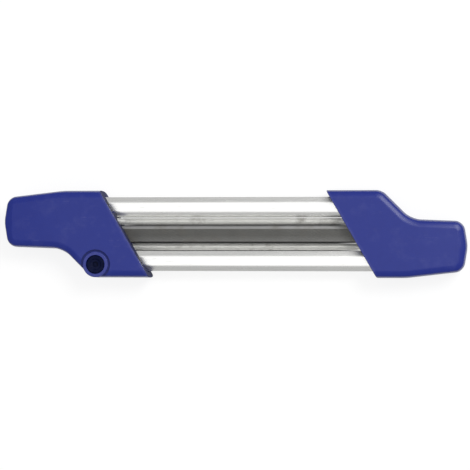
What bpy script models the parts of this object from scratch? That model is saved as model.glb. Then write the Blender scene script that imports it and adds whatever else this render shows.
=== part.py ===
"""Manual chainsaw sharpener: a guide with two handles that carries two round files and a flat file.

The tool lies flat. X runs along the files, Y across them and Z up, in metres. The middle plane of the
tool is at half the handle's height. Each handle is modelled in the frame of the right one, whose X starts
half a file's length from the tool's middle. An empty in the middle plane places it, and the left handle's
empty is turned half a turn about Z.
"""

import math
from collections import namedtuple

import bmesh
import bpy
import numpy
from mathutils import Matrix, Vector

# The whole tool
HANDLE_HEIGHT = 0.028
FILING_ANGLE = math.radians(30)
SEAT_GAP = 0.0003
OVERRUN = 0.001

# Files
FILE_LENGTH = 0.200
ROUND_FILE_DIAMETER = 0.0048
ROUND_FILE_END_DIAMETER = 0.0044
ROUND_FILE_PLAIN_END = 0.009
ROUND_FILE_CHAMFER = 0.0006
ROUND_FILE_PROUD_SHARE = 0.3
FLAT_FILE_WIDTH = 0.0128
DEPTH_GAUGE_SETTING = 0.00065
RELIEF_WIDTH = 0.0024
RELIEF_DEPTH = 0.0012
FLAT_FILE_CHAMFER = 0.0004
FILE_TO_FILE_GAP = 0.00055
FILE_TO_RAIL_GAP = 0.00045

# Guide rails, one end of which sits deeper in its handle than the other
RAIL_WIDTH = 0.015
RAIL_THICKNESS = 0.0036
RAIL_SHORT_SEAT = 0.005
RAIL_LONG_SEAT = 0.018
RAIL_CORNER_CUT = 0.0025
RAIL_SECTION_SHARES = ((0.45, 1.0), (1.0, 0.3))

# Handle outline, seen from above
HANDLE_REACH = 0.070
LEFT_RIM_COVER = 0.0205
RIGHT_RIM_COVER = 0.0135
RIM_CORNER_RADIUS = 0.0022
HEAD_MARGIN = 0.0048
LEFT_HEAD_CORNER_DISTANCE = 0.0047
RIGHT_HEAD_CORNER_DISTANCE = 0.0082
HEAD_CORNER_RADIUS = 0.0098
WAIST_SLOPE = math.radians(45)
WAIST_RADIUS = 0.018
WAIST_SIDE = 0.0109
GRIP_END_INNER_SIDE = 0.0094
GRIP_END_OUTER_SIDE = 0.0272
GRIP_END_RADIUS = 0.0078
GRIP_END_BULGE = 0.0027
GRIP_TAPER_DISTANCE = 0.026
GRIP_TAPER_RADIUS = 0.060

# Handle section
SHELL_WALL = 0.0025
SIDE_ROUND = 0.0065
RIM_ROUND = 0.0009
SIDE_DRAFT = 0.00025
GRIP_DROOP = 0.0022
GRIP_KNEE_DISTANCE = 0.022

# Ribs across the inside of the shells
RIB_THICKNESS = 0.0016
GRIP_RIB_DEPTH = 0.0035
GRIP_RIB_SHARES = (0.30, 0.515)
HOLDER_RIB_LENGTH = 0.022
HOLDER_RIB_INSET = 0.010

# Openings of the handles round the rails and files
MOUTH_CLEARANCE = 0.0008

# File holders
HOLDER_HEIGHT = 0.016
HOLDER_BACK_WALL = 0.0035

# Pins that fix the rails in the right handle
RAIL_PIN_DIAMETER = 0.003
RAIL_PIN_SINK = 0.0006
RAIL_PIN_END_DISTANCE = 0.0081

# Handle screws, which go in from below
SCREW_DIAMETER = 0.0028
SCREW_HEAD_DIAMETER = 0.0054
SCREW_HEAD_HEIGHT = 0.0018
SCREW_LENGTH = 0.0158
SCREW_DRIVE_WIDTH = 0.0022
SCREW_DRIVE_DEPTH = 0.0009
SCREW_SINK = 0.0045
SCREW_BOSS_WALL = 0.0018
ROOT_SCREW_SIDE = 0.009
ROOT_SCREW_FILE_DISTANCE = 0.0095
WAIST_SCREW_SIDE = 0.0205
WAIST_SCREW_HOLDER_DISTANCE = 0.007
GRIP_SCREW_SIDE = 0.0085
GRIP_SCREW_END_DISTANCE = 0.013

# Lock on the left handle
LOCK_KNOB_DIAMETER = 0.0132
LOCK_KNOB_THICKNESS = 0.0024
LOCK_KNOB_SINK = 0.0002
LOCK_KNOB_ROUND = 0.0007
LOCK_DISH_DIAMETER = 0.0084
LOCK_DISH_DEPTH = 0.0005
LOCK_SOCKET_WIDTH = 0.004
LOCK_SOCKET_DEPTH = 0.0018
LOCK_WASHER_THICKNESS = 0.0006
LOCK_WASHER_WIDTH = 0.0022
LOCK_STEM_DIAMETER = 0.006
LOCK_CAM_DIAMETER = 0.0052
LOCK_CAM_THROW = 0.0005
LOCK_CAM_HEIGHT = 0.004
LOCK_CAM_RISE = 0.0005
LOCK_NOTCH_SPARE = 0.0005
LOCK_PIVOT_DIAMETER = 0.0044
LOCK_PIVOT_LENGTH = 0.0046
LOCK_SCREW_DIAMETER = 0.0022
LOCK_SCREW_BITE = 0.006
LOCK_SCREW_HEAD_DIAMETER = 0.0042
LOCK_SCREW_HEAD_HEIGHT = 0.0014
LOCK_TOWER_DEPTH = 0.0078
LOCK_TOWER_STEP = 0.0004
LOCK_TOWER_CHAMFER = 0.0007
LOCK_GROOVE_WIDTH = 0.0015
LOCK_GROOVE_DEPTH = 0.0009
LOCK_BOSS_WALL = 0.0018

# Fineness of round shapes
ARC_STEP = math.radians(12)
ROUND_STEPS = 4
CAVITY_ROUND_STEPS = 2
DROOP_STEPS = 4
BORE_SIDES = 16
SHAFT_SIDES = 20
LOCK_SIDES = 32
HEX_SIDES = 6
SMOOTH_ANGLE = math.radians(32)
MERGE_DISTANCE = 0.00001
SMALLEST_RADIUS = 0.0002

# Sizes worked out from those above
HALF_HEIGHT = HANDLE_HEIGHT / 2
HALF_FILE = FILE_LENGTH / 2
FILE_CENTRE = (LEFT_RIM_COVER - RIGHT_RIM_COVER) / 2
FILE_START = FILE_CENTRE - HALF_FILE
FILE_END = FILE_CENTRE + HALF_FILE
ROUND_FILE_SIDE = FLAT_FILE_WIDTH / 2 + FILE_TO_FILE_GAP + ROUND_FILE_DIAMETER / 2
RAIL_HALF_THICKNESS = RAIL_THICKNESS / 2
RAIL_INNER_SIDE = ROUND_FILE_SIDE + ROUND_FILE_DIAMETER / 2 + FILE_TO_RAIL_GAP
RAIL_CENTRE_SIDE = RAIL_INNER_SIDE + RAIL_WIDTH / 2
RAIL_OUTER_SIDE = RAIL_INNER_SIDE + RAIL_WIDTH
RAIL_SHORT_REACH = HALF_FILE + RAIL_SHORT_SEAT
RAIL_LONG_REACH = HALF_FILE + RAIL_LONG_SEAT
FLAT_FILE_THICKNESS = RAIL_THICKNESS + 2 * DEPTH_GAUGE_SETTING
ROUND_FILE_HEIGHT = RAIL_HALF_THICKNESS + ROUND_FILE_PROUD_SHARE * ROUND_FILE_DIAMETER
HEAD_SIDE = RAIL_OUTER_SIDE + HEAD_MARGIN
WAIST_RUN = (HEAD_SIDE - WAIST_SIDE) / math.tan(WAIST_SLOPE)
CEILING = HALF_HEIGHT - SHELL_WALL
HOLDER_TOP = HOLDER_HEIGHT / 2
HOLDER_BACK_DISTANCE = RAIL_LONG_SEAT + HOLDER_BACK_WALL
ROOT_SCREW_PLACE = (FILE_CENTRE + ROOT_SCREW_FILE_DISTANCE, ROOT_SCREW_SIDE)
WAIST_SCREW_PLACE = (HOLDER_BACK_DISTANCE + WAIST_SCREW_HOLDER_DISTANCE, -WAIST_SCREW_SIDE)
GRIP_SCREW_PLACE = (HANDLE_REACH - GRIP_SCREW_END_DISTANCE, -GRIP_SCREW_SIDE)
LOCK_SIDE = HEAD_SIDE - HEAD_CORNER_RADIUS
LOCK_DISTANCE = LEFT_HEAD_CORNER_DISTANCE - HEAD_CORNER_RADIUS * math.tan(WAIST_SLOPE / 2)
SCREW_BORE_DIAMETER = SCREW_DIAMETER + 2 * SEAT_GAP
SCREW_SINK_DIAMETER = SCREW_HEAD_DIAMETER + 2 * SEAT_GAP
SCREW_SEAT = SCREW_SINK - HALF_HEIGHT


def clear_scene():
    for scene_object in list(bpy.data.objects):
        bpy.data.objects.remove(scene_object, do_unlink=True)


def collection(name):
    made = bpy.data.collections.new(name)
    bpy.context.scene.collection.children.link(made)
    return made


clear_scene()
PARTS = collection("manual_chainsaw_sharpener")
CUTTERS = collection("cutters")


def material(name, colour, metallic, roughness):
    made = bpy.data.materials.new(name)
    made.use_nodes = True
    shader = made.node_tree.nodes["Principled BSDF"]
    shader.inputs["Base Color"].default_value = (*colour, 1.0)
    shader.inputs["Metallic"].default_value = metallic
    shader.inputs["Roughness"].default_value = roughness
    made.diffuse_color = (*colour, 1.0)
    return made


BLUE_PLASTIC = material("blue_plastic", (0.045, 0.055, 0.235), 0.0, 0.45)
BLACK_PLASTIC = material("black_plastic", (0.012, 0.013, 0.018), 0.0, 0.4)
HOLDER_PLASTIC = material("holder_plastic", (0.02, 0.02, 0.022), 0.0, 0.6)
RAIL_METAL = material("rail_metal", (0.83, 0.83, 0.81), 1.0, 0.28)
FILE_STEEL = material("file_steel", (0.42, 0.42, 0.40), 1.0, 0.5)
FASTENER_STEEL = material("fastener_steel", (0.55, 0.55, 0.53), 1.0, 0.35)


def empty(name, place, turn, parent):
    made = bpy.data.objects.new(name, None)
    made.location = place
    made.rotation_euler = turn
    made.parent = parent
    PARTS.objects.link(made)
    return made


def finish(name, bm, parent, finish_material):
    """Makes a mesh object of bm. A piece has a material, and a cutter or an added shape has none."""
    bmesh.ops.remove_doubles(bm, verts=bm.verts, dist=MERGE_DISTANCE)
    bmesh.ops.recalc_face_normals(bm, faces=bm.faces)
    mesh = bpy.data.meshes.new(name)
    bm.to_mesh(mesh)
    bm.free()
    mesh.shade_smooth()
    mesh.set_sharp_from_angle(angle=SMOOTH_ANGLE)
    made = bpy.data.objects.new(name, mesh)
    made.parent = parent
    if finish_material:
        mesh.materials.append(finish_material)
        PARTS.objects.link(made)
    else:
        CUTTERS.objects.link(made)
        made.hide_render = True
        made.display_type = "WIRE"
    return made


def combine(piece, other, operation):
    modifier = piece.modifiers.new(other.name, "BOOLEAN")
    modifier.operation = operation
    modifier.object = other
    modifier.solver = "EXACT"


def cut(piece, *cutters):
    for cutter in cutters:
        combine(piece, cutter, "DIFFERENCE")


def join(piece, *others):
    for other in others:
        combine(piece, other, "UNION")


def corner_arc(before, corner, after, radius):
    """The points of the arc that rounds one corner of an outline."""
    arriving = (corner - before).normalized()
    leaving = (after - corner).normalized()
    turn = math.atan2(arriving.cross(leaving), arriving.dot(leaving))
    setback = radius * math.tan(abs(turn) / 2)
    to_centre = Vector((-arriving.y, arriving.x)) * math.copysign(radius, turn)
    start = corner - arriving * setback
    steps = max(2, round(abs(turn) / ARC_STEP))
    points = []
    for step in range(steps + 1):
        spoke = Matrix.Rotation(turn * step / steps, 2) @ -to_centre
        points.append(start + to_centre + spoke)
    return points


def rounded(corners):
    """An outline, as points, from (point, radius) corners listed anticlockwise."""
    points = []
    for index, (corner, radius) in enumerate(corners):
        before = corners[index - 1][0]
        after = corners[(index + 1) % len(corners)][0]
        points += corner_arc(before, corner, after, radius)
    return points


def inset(corners, distances):
    """Moves each side of a cornered outline inwards. Side i runs from corner i to the next one."""
    moved = []
    for index, (corner, radius) in enumerate(corners):
        arriving = (corner - corners[index - 1][0]).normalized()
        leaving = (corners[(index + 1) % len(corners)][0] - corner).normalized()
        arrival_shift = Vector((-arriving.y, arriving.x)) * distances[index - 1]
        leaving_shift = Vector((-leaving.y, leaving.x)) * distances[index]
        along = (leaving_shift - arrival_shift).cross(leaving) / arriving.cross(leaving)
        least = min(distances[index - 1], distances[index])
        change = math.copysign(least, arriving.cross(leaving))
        moved.append((corner + arrival_shift + arriving * along, max(radius - change, SMALLEST_RADIUS)))
    return moved


Handle = namedtuple("Handle", "label rim_distance head_corner_distance parent")


def handle_corners(handle):
    """The corners of a handle's outline. The last side is the rim, slanted at the filing angle."""
    rim_distance = handle.rim_distance
    slant = math.tan(FILING_ANGLE)
    end_middle = (GRIP_END_INNER_SIDE - GRIP_END_OUTER_SIDE) / 2
    end_distance = HANDLE_REACH - GRIP_END_BULGE
    return [
        (Vector((rim_distance + HEAD_SIDE * slant, -HEAD_SIDE)), RIM_CORNER_RADIUS),
        (Vector((GRIP_TAPER_DISTANCE, -HEAD_SIDE)), GRIP_TAPER_RADIUS),
        (Vector((end_distance, -GRIP_END_OUTER_SIDE)), GRIP_END_RADIUS),
        (Vector((HANDLE_REACH + bulge_overshoot(), end_middle)), bulge_radius()),
        (Vector((end_distance, GRIP_END_INNER_SIDE)), GRIP_END_RADIUS),
        (Vector((handle.head_corner_distance + WAIST_RUN, WAIST_SIDE)), WAIST_RADIUS),
        (Vector((handle.head_corner_distance, HEAD_SIDE)), HEAD_CORNER_RADIUS),
        (Vector((rim_distance - HEAD_SIDE * slant, HEAD_SIDE)), RIM_CORNER_RADIUS),
    ]


def bulge_radius():
    """Radius of the arc across the grip's end, which spans the end between its round corners."""
    half_chord = (GRIP_END_INNER_SIDE + GRIP_END_OUTER_SIDE) / 2 - GRIP_END_RADIUS
    return (half_chord**2 + GRIP_END_BULGE**2) / (2 * GRIP_END_BULGE)


def bulge_overshoot():
    """How far the corner that the end's arc rounds off lies beyond the arc."""
    half_chord = (GRIP_END_INNER_SIDE + GRIP_END_OUTER_SIDE) / 2
    half_turn = math.atan(GRIP_END_BULGE / half_chord)
    return bulge_radius() * (1 / math.cos(half_turn) - 1)


def round_inset(height, top, radius):
    """How far a side of a given edge radius has drawn in at a height below its top."""
    climb = min(max((height - (top - radius)) / radius, 0.0), 1.0)
    return radius * (1 - math.sqrt(1 - climb**2))


def cavity_inset(height):
    """How far the side of a cavity has drawn in at a height, along the straight steps of its rounding."""
    radius = SIDE_ROUND - SHELL_WALL
    turns = [math.pi / 2 * step / CAVITY_ROUND_STEPS for step in range(CAVITY_ROUND_STEPS + 1)]
    climbs = [radius * math.sin(turn) for turn in turns]
    insets = [radius * (1 - math.cos(turn)) for turn in turns]
    return float(numpy.interp(height - (HALF_HEIGHT - SIDE_ROUND), climbs, insets))


def droop(distance):
    """How far a shell's top has come down at a distance along the grip, by straight steps on a parabola."""
    reach = min(max((distance - GRIP_KNEE_DISTANCE) / (HANDLE_REACH - GRIP_KNEE_DISTANCE), 0.0), 1.0)
    step = min(math.floor(reach * DROOP_STEPS), DROOP_STEPS - 1)
    low = (step / DROOP_STEPS) ** 2
    high = ((step + 1) / DROOP_STEPS) ** 2
    return GRIP_DROOP * (low + (high - low) * (reach * DROOP_STEPS - step))


def loft(rings):
    """A closed solid through rings of the same number of points, capped at both ends."""
    bm = bmesh.new()
    levels = [[bm.verts.new(point) for point in ring] for ring in rings]
    for lower, upper in zip(levels, levels[1:]):
        for index in range(len(lower)):
            following = (index + 1) % len(lower)
            bm.faces.new((lower[index], lower[following], upper[following], upper[index]))
    bm.faces.new(reversed(levels[0]))
    bm.faces.new(levels[-1])
    return bm


def handle_solid(name, handle, side, wall, finish_material=None):
    """Half a handle, on one side of the middle plane: with no wall its outer form, or else its cavity."""
    top = HALF_HEIGHT - wall
    side_radius = SIDE_ROUND - wall
    steps = CAVITY_ROUND_STEPS if wall else ROUND_STEPS
    heights = [-OVERRUN if wall else SEAT_GAP / 2]
    heights += [top - side_radius + side_radius * math.sin(math.pi / 2 * k / steps) for k in range(steps + 1)]
    rings = []
    for height in heights:
        draft = SIDE_DRAFT * min(max(height / (HALF_HEIGHT - SIDE_ROUND), 0.0), 1.0)
        side_inset = wall + draft + round_inset(height, top, side_radius)
        rim_inset = wall if wall else round_inset(height, top, RIM_ROUND)
        corners = handle_corners(handle)
        outline = rounded(inset(corners, [side_inset] * (len(corners) - 1) + [rim_inset]))
        rings.append([(point.x, point.y, side * height) for point in outline])
    bm = loft(rings)
    for step in range(DROOP_STEPS):
        distance = GRIP_KNEE_DISTANCE + (HANDLE_REACH - GRIP_KNEE_DISTANCE) * step / DROOP_STEPS
        everything = bm.verts[:] + bm.edges[:] + bm.faces[:]
        bmesh.ops.bisect_plane(bm, geom=everything, plane_co=(distance, 0, 0), plane_no=(1, 0, 0))
    for vert in bm.verts:
        vert.co.z *= 1 - droop(vert.co.x) / HALF_HEIGHT
    return finish(name, bm, handle.parent, finish_material)


def cylinder(name, radius, low, high, place, parent, sides, finish_material=None):
    """An upright cylinder between two heights, with its origin on its axis."""
    bm = bmesh.new()
    bmesh.ops.create_cone(
        bm, cap_ends=True, segments=sides, radius1=radius, radius2=radius, depth=high - low
    )
    bmesh.ops.translate(bm, verts=bm.verts, vec=(0, 0, (low + high) / 2))
    made = finish(name, bm, parent, finish_material)
    made.location = (*place, 0)
    return made


def box(name, low, high, parent):
    bm = bmesh.new()
    bmesh.ops.create_cube(bm, size=1)
    size = [b - a for a, b in zip(low, high)]
    middle = [(a + b) / 2 for a, b in zip(low, high)]
    bmesh.ops.scale(bm, verts=bm.verts, vec=size)
    bmesh.ops.translate(bm, verts=bm.verts, vec=middle)
    return finish(name, bm, parent, None)


def prism(name, outline, low, high, parent, finish_material=None):
    """A flat outline raised between two heights."""
    bm = bmesh.new()
    face = bm.faces.new([bm.verts.new((point[0], point[1], low)) for point in outline])
    raised = bmesh.ops.extrude_face_region(bm, geom=[face])
    moved = [item for item in raised["geom"] if isinstance(item, bmesh.types.BMVert)]
    bmesh.ops.translate(bm, verts=moved, vec=(0, 0, high - low))
    return finish(name, bm, parent, finish_material)


def bar(name, section, start, end, parent, finish_material=None):
    """A section in Y and Z drawn out along X."""
    bm = bmesh.new()
    face = bm.faces.new([bm.verts.new((start, point[0], point[1])) for point in section])
    drawn = bmesh.ops.extrude_face_region(bm, geom=[face])
    moved = [item for item in drawn["geom"] if isinstance(item, bmesh.types.BMVert)]
    bmesh.ops.translate(bm, verts=moved, vec=(end - start, 0, 0))
    return finish(name, bm, parent, finish_material)


def turned(name, profile, parent, sides, finish_material=None):
    """A profile of (radius, height) points, from the top down, turned about Z by a Screw modifier."""
    bm = bmesh.new()
    verts = [bm.verts.new((radius, 0, height)) for radius, height in profile]
    for upper, lower in zip(verts, verts[1:]):
        bm.edges.new((upper, lower))
    mesh = bpy.data.meshes.new(name)
    bm.to_mesh(mesh)
    bm.free()
    made = bpy.data.objects.new(name, mesh)
    made.parent = parent
    screw = made.modifiers.new("turn", "SCREW")
    screw.steps = sides
    screw.render_steps = sides
    screw.use_merge_vertices = True
    screw.merge_threshold = MERGE_DISTANCE
    screw.use_smooth_shade = True
    if finish_material:
        mesh.materials.append(finish_material)
        PARTS.objects.link(made)
    else:
        CUTTERS.objects.link(made)
        made.hide_render = True
        made.display_type = "WIRE"
    return made


def mirrored_section(quarter, grow):
    """A section alike above and below and left and right, from one quarter listed from the top round."""
    half_width, half_thickness, shares = quarter
    corners = [(a * half_width, b * half_thickness) for a, b in shares]
    corners = [(y + grow * (a > 0), z + grow) for (y, z), (a, b) in zip(corners, shares)]
    right = [(y, z) for y, z in corners] + [(y, -z) for y, z in reversed(corners)]
    return right + [(-y, z) for y, z in reversed(right)]


def rail_section(side, grow):
    section = mirrored_section((RAIL_WIDTH / 2, RAIL_HALF_THICKNESS, RAIL_SECTION_SHARES), grow)
    return [(side * RAIL_CENTRE_SIDE + y, z) for y, z in section]


def flat_file_section(grow):
    """A flat bar with two small chamfers, and a wide relief on each corner that lies beside a proud file."""
    across = FLAT_FILE_WIDTH / 2 + grow
    up = FLAT_FILE_THICKNESS / 2 + grow
    half = [
        (across, -up + FLAT_FILE_CHAMFER),
        (across, up - RELIEF_DEPTH),
        (across - RELIEF_WIDTH, up),
        (-across + FLAT_FILE_CHAMFER, up),
    ]
    return half + [(-y, -z) for y, z in half]


def circle(side, height, radius, sides):
    turns = [2 * math.pi * k / sides for k in range(sides)]
    return [(side + radius * math.cos(turn), height + radius * math.sin(turn)) for turn in turns]


MIDDLE = empty("tool_middle", (0, 0, HALF_HEIGHT), (0, 0, 0), None)
RIGHT = empty("right_handle_middle", (HALF_FILE, 0, 0), (0, 0, 0), MIDDLE)
LEFT = empty("left_handle_middle", (-HALF_FILE, 0, 0), (0, 0, math.pi), MIDDLE)


def rail(name, side, grow, start, end, finish_material=None):
    """A guide rail with its two outer end corners cut off, or the space for it with a clearance all round."""
    made = bar(name, rail_section(side, grow), start, end, MIDDLE, finish_material)
    outer = side * (RAIL_OUTER_SIDE + grow)
    for label, tip, inwards in (("left", start, 1), ("right", end, -1)):
        reach = RAIL_CORNER_CUT + OVERRUN
        corner = [
            (tip + inwards * RAIL_CORNER_CUT, outer),
            (tip + inwards * RAIL_CORNER_CUT, outer + side * OVERRUN),
            (tip - inwards * OVERRUN, outer + side * OVERRUN),
            (tip - inwards * OVERRUN, outer - side * RAIL_CORNER_CUT),
            (tip, outer - side * RAIL_CORNER_CUT),
        ]
        cut(made, prism(f"{name}_{label}_corner", corner, -reach, reach, MIDDLE))
    return made


def bored_rail(name, side, start, end, pin_place):
    made = rail(name, side, 0, start, end, RAIL_METAL)
    radius = RAIL_PIN_DIAMETER / 2 + SEAT_GAP
    reach = RAIL_THICKNESS
    cut(made, cylinder(f"{name}_pin_hole", radius, -reach, reach, pin_place, MIDDLE, BORE_SIDES))
    return made


def rail_pin_place(side):
    """A pin stands in the middle of its rail, at a set distance from the rail's end in the right handle."""
    end = RAIL_SHORT_REACH if side > 0 else RAIL_LONG_REACH
    return (end - RAIL_PIN_END_DISTANCE, side * RAIL_CENTRE_SIDE)


def rails():
    bored_rail("back_rail", 1, -RAIL_LONG_REACH, RAIL_SHORT_REACH, rail_pin_place(1))
    front = bored_rail("front_rail", -1, -RAIL_SHORT_REACH, RAIL_LONG_REACH, rail_pin_place(-1))
    cam_reach = LOCK_CAM_DIAMETER / 2 + LOCK_CAM_THROW + SEAT_GAP
    notch_end = -HALF_FILE - LOCK_DISTANCE + cam_reach + LOCK_NOTCH_SPARE
    notch = box(
        "lock_notch",
        (-RAIL_SHORT_REACH - OVERRUN, -RAIL_OUTER_SIDE - OVERRUN, -RAIL_THICKNESS),
        (notch_end, -LOCK_SIDE + cam_reach, RAIL_THICKNESS),
        MIDDLE,
    )
    cut(front, notch)
    for name, side in (("back_rail_pin", 1), ("front_rail_pin", -1)):
        reach = HOLDER_TOP - RAIL_PIN_SINK
        radius = RAIL_PIN_DIAMETER / 2
        cylinder(name, radius, -reach, reach, rail_pin_place(side), MIDDLE, SHAFT_SIDES, FASTENER_STEEL)


def round_file(name, side, height):
    """A round file lying along X, with a plain end of a smaller diameter at each tip."""
    end_radius = ROUND_FILE_END_DIAMETER / 2
    shoulder = HALF_FILE - ROUND_FILE_PLAIN_END
    taper = (ROUND_FILE_DIAMETER - ROUND_FILE_END_DIAMETER) / 2
    upper = [
        (0, HALF_FILE),
        (end_radius - ROUND_FILE_CHAMFER, HALF_FILE),
        (end_radius, HALF_FILE - ROUND_FILE_CHAMFER),
        (end_radius, shoulder),
        (ROUND_FILE_DIAMETER / 2, shoulder - taper),
    ]
    made = turned(name, upper + [(r, -h) for r, h in reversed(upper)], MIDDLE, SHAFT_SIDES, FILE_STEEL)
    made.location = (FILE_CENTRE, side * ROUND_FILE_SIDE, height)
    made.rotation_euler = (0, math.pi / 2, 0)


def files():
    round_file("back_round_file", 1, ROUND_FILE_HEIGHT)
    round_file("front_round_file", -1, -ROUND_FILE_HEIGHT)
    bar("flat_file", flat_file_section(0), FILE_START, FILE_END, MIDDLE, FILE_STEEL)


def file_paths(name, grow, rail_ends, file_ends):
    """The space of the rails and files with a clearance all round, as one cutter."""
    (back_start, back_end), (front_start, front_end) = rail_ends
    start, end = file_ends
    radius = ROUND_FILE_DIAMETER / 2 + grow
    paths = bar(name, flat_file_section(grow), start, end, MIDDLE)
    back_circle = circle(ROUND_FILE_SIDE, ROUND_FILE_HEIGHT, radius, SHAFT_SIDES)
    front_circle = circle(-ROUND_FILE_SIDE, -ROUND_FILE_HEIGHT, radius, SHAFT_SIDES)
    join(
        paths,
        bar(f"{name}_back_file", back_circle, start, end, MIDDLE),
        bar(f"{name}_front_file", front_circle, start, end, MIDDLE),
        rail(f"{name}_back_rail", 1, grow, back_start, back_end),
        rail(f"{name}_front_rail", -1, grow, front_start, front_end),
    )
    return paths


def rim_reach(rim_cover):
    """How far out a handle's mouth goes: past the inner face of the rim's wall where that is farthest out."""
    farthest = HALF_FILE - rim_cover + (RAIL_OUTER_SIDE + MOUTH_CLEARANCE) * math.tan(FILING_ANGLE)
    return farthest + SHELL_WALL / math.cos(FILING_ANGLE) + OVERRUN


def screw_places():
    return (("root", ROOT_SCREW_PLACE), ("waist", WAIST_SCREW_PLACE), ("grip", GRIP_SCREW_PLACE))


def shell_top(place, depth):
    """The height of a shell's outer or inner face over a place, as far as the grip droops there."""
    return (HALF_HEIGHT - depth) * (1 - droop(place[0]) / HALF_HEIGHT)


def grip_sides(handle, distance):
    """How far out the grip's outer and inner sides are at a distance, on their straight tapers."""
    end_distance = HANDLE_REACH - GRIP_END_BULGE
    waist_distance = handle.head_corner_distance + WAIST_RUN
    outer_share = (distance - GRIP_TAPER_DISTANCE) / (end_distance - GRIP_TAPER_DISTANCE)
    inner_share = (distance - waist_distance) / (end_distance - waist_distance)
    outer = HEAD_SIDE + (GRIP_END_OUTER_SIDE - HEAD_SIDE) * outer_share
    return outer, WAIST_SIDE + (GRIP_END_INNER_SIDE - WAIST_SIDE) * inner_share


def grip_ribs(handle, half, side):
    """Ribs across the grip, whose ends and tops lie inside the wall of the shell."""
    made = []
    inside = SHELL_WALL - SEAT_GAP
    for number, share in enumerate(GRIP_RIB_SHARES):
        distance = HOLDER_BACK_DISTANCE + (HANDLE_REACH - HOLDER_BACK_DISTANCE) * share
        far = distance + RIB_THICKNESS
        top = shell_top((far, 0), inside)
        outer, inner = grip_sides(handle, far)
        heights = sorted((side * top, side * (top - GRIP_RIB_DEPTH)))
        low = (distance, inside - outer, heights[0])
        high = (far, inner - inside, heights[1])
        made.append(box(f"{handle.label}_{half}_grip_rib_{number}", low, high, handle.parent))
    return made


def holder_ribs(handle, half, side):
    """Two ribs that press on the file holder, one near the rim and one near the holder's back."""
    made = []
    near = handle.rim_distance + HOLDER_RIB_INSET
    for number, distance in enumerate((near, HOLDER_BACK_DISTANCE - HOLDER_RIB_INSET)):
        reach = HOLDER_RIB_LENGTH / 2 if number == 0 else HOLDER_RIB_LENGTH / 4
        middle = 0 if number == 0 else -reach
        heights = sorted((side * (HOLDER_TOP + SEAT_GAP), side * (CEILING + SEAT_GAP)))
        low = (distance, middle - reach, heights[0])
        high = (distance + RIB_THICKNESS, middle + reach, heights[1])
        made.append(box(f"{handle.label}_{half}_holder_rib_{number}", low, high, handle.parent))
    return made


def half_shell(handle, half, side):
    """Half a handle with its cavity and its ribs, before its screws and its mouth."""
    title = f"{handle.label}_{half}"
    made = handle_solid(f"{title}_shell", handle, side, 0, BLUE_PLASTIC)
    cut(made, handle_solid(f"{title}_cavity", handle, side, SHELL_WALL))
    join(made, *grip_ribs(handle, half, side), *holder_ribs(handle, half, side))
    return made


def upper_shell(handle, mouth):
    made = half_shell(handle, "upper", 1)
    parent = handle.parent
    for name, place in screw_places():
        title = f"{handle.label}_{name}_upper"
        bore = SCREW_BORE_DIAMETER / 2
        boss = bore + SCREW_BOSS_WALL
        top = shell_top(place, SHELL_WALL) + SEAT_GAP
        join(made, cylinder(f"{title}_boss", boss, SEAT_GAP / 2, top, place, parent, SHAFT_SIDES))
        depth = SCREW_SEAT + SCREW_LENGTH + SEAT_GAP
        cut(made, cylinder(f"{title}_bore", bore, -OVERRUN, depth, place, parent, BORE_SIDES))
    cut(made, mouth)
    return made


def lower_shell(handle, mouth):
    made = half_shell(handle, "lower", -1)
    parent = handle.parent
    for name, place in screw_places():
        title = f"{handle.label}_{name}_lower"
        floor = -shell_top(place, SHELL_WALL) - SEAT_GAP
        bore = SCREW_BORE_DIAMETER / 2
        sink = SCREW_SINK_DIAMETER / 2
        boss = bore + SCREW_BOSS_WALL
        seat = sink + SCREW_BOSS_WALL
        seat_top = SCREW_SEAT + SCREW_BOSS_WALL
        below = -HALF_HEIGHT - OVERRUN
        join(
            made,
            cylinder(f"{title}_boss", boss, floor, -SEAT_GAP / 2, place, parent, SHAFT_SIDES),
            cylinder(f"{title}_seat", seat, floor, seat_top, place, parent, SHAFT_SIDES),
        )
        cut(
            made,
            cylinder(f"{title}_bore", bore, -HALF_HEIGHT, OVERRUN, place, parent, BORE_SIDES),
            cylinder(f"{title}_sink", sink, below, SCREW_SEAT, place, parent, SHAFT_SIDES),
        )
    cut(made, mouth)
    return made


def handle_screws(handle):
    parent = handle.parent
    for name, place in screw_places():
        title = f"{handle.label}_{name}_screw"
        radius = SCREW_DIAMETER / 2
        head = SCREW_HEAD_DIAMETER / 2
        seat = SCREW_SEAT - SEAT_GAP
        tip = seat + SCREW_LENGTH
        profile = [
            (0, tip),
            (radius / 2, tip),
            (radius, tip - radius),
            (radius, seat),
            (head, seat),
            (head, seat - SCREW_HEAD_HEIGHT / 2),
            (head - SCREW_HEAD_HEIGHT / 2, seat - SCREW_HEAD_HEIGHT),
            (0, seat - SCREW_HEAD_HEIGHT),
        ]
        made = turned(title, profile, parent, BORE_SIDES, FASTENER_STEEL)
        made.location = (*place, 0)
        face = seat - SCREW_HEAD_HEIGHT
        depth = face + SCREW_DRIVE_DEPTH
        drive = SCREW_DRIVE_WIDTH / 2
        cut(made, cylinder(f"{title}_drive", drive, face - OVERRUN, depth, place, parent, HEX_SIDES))


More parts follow.
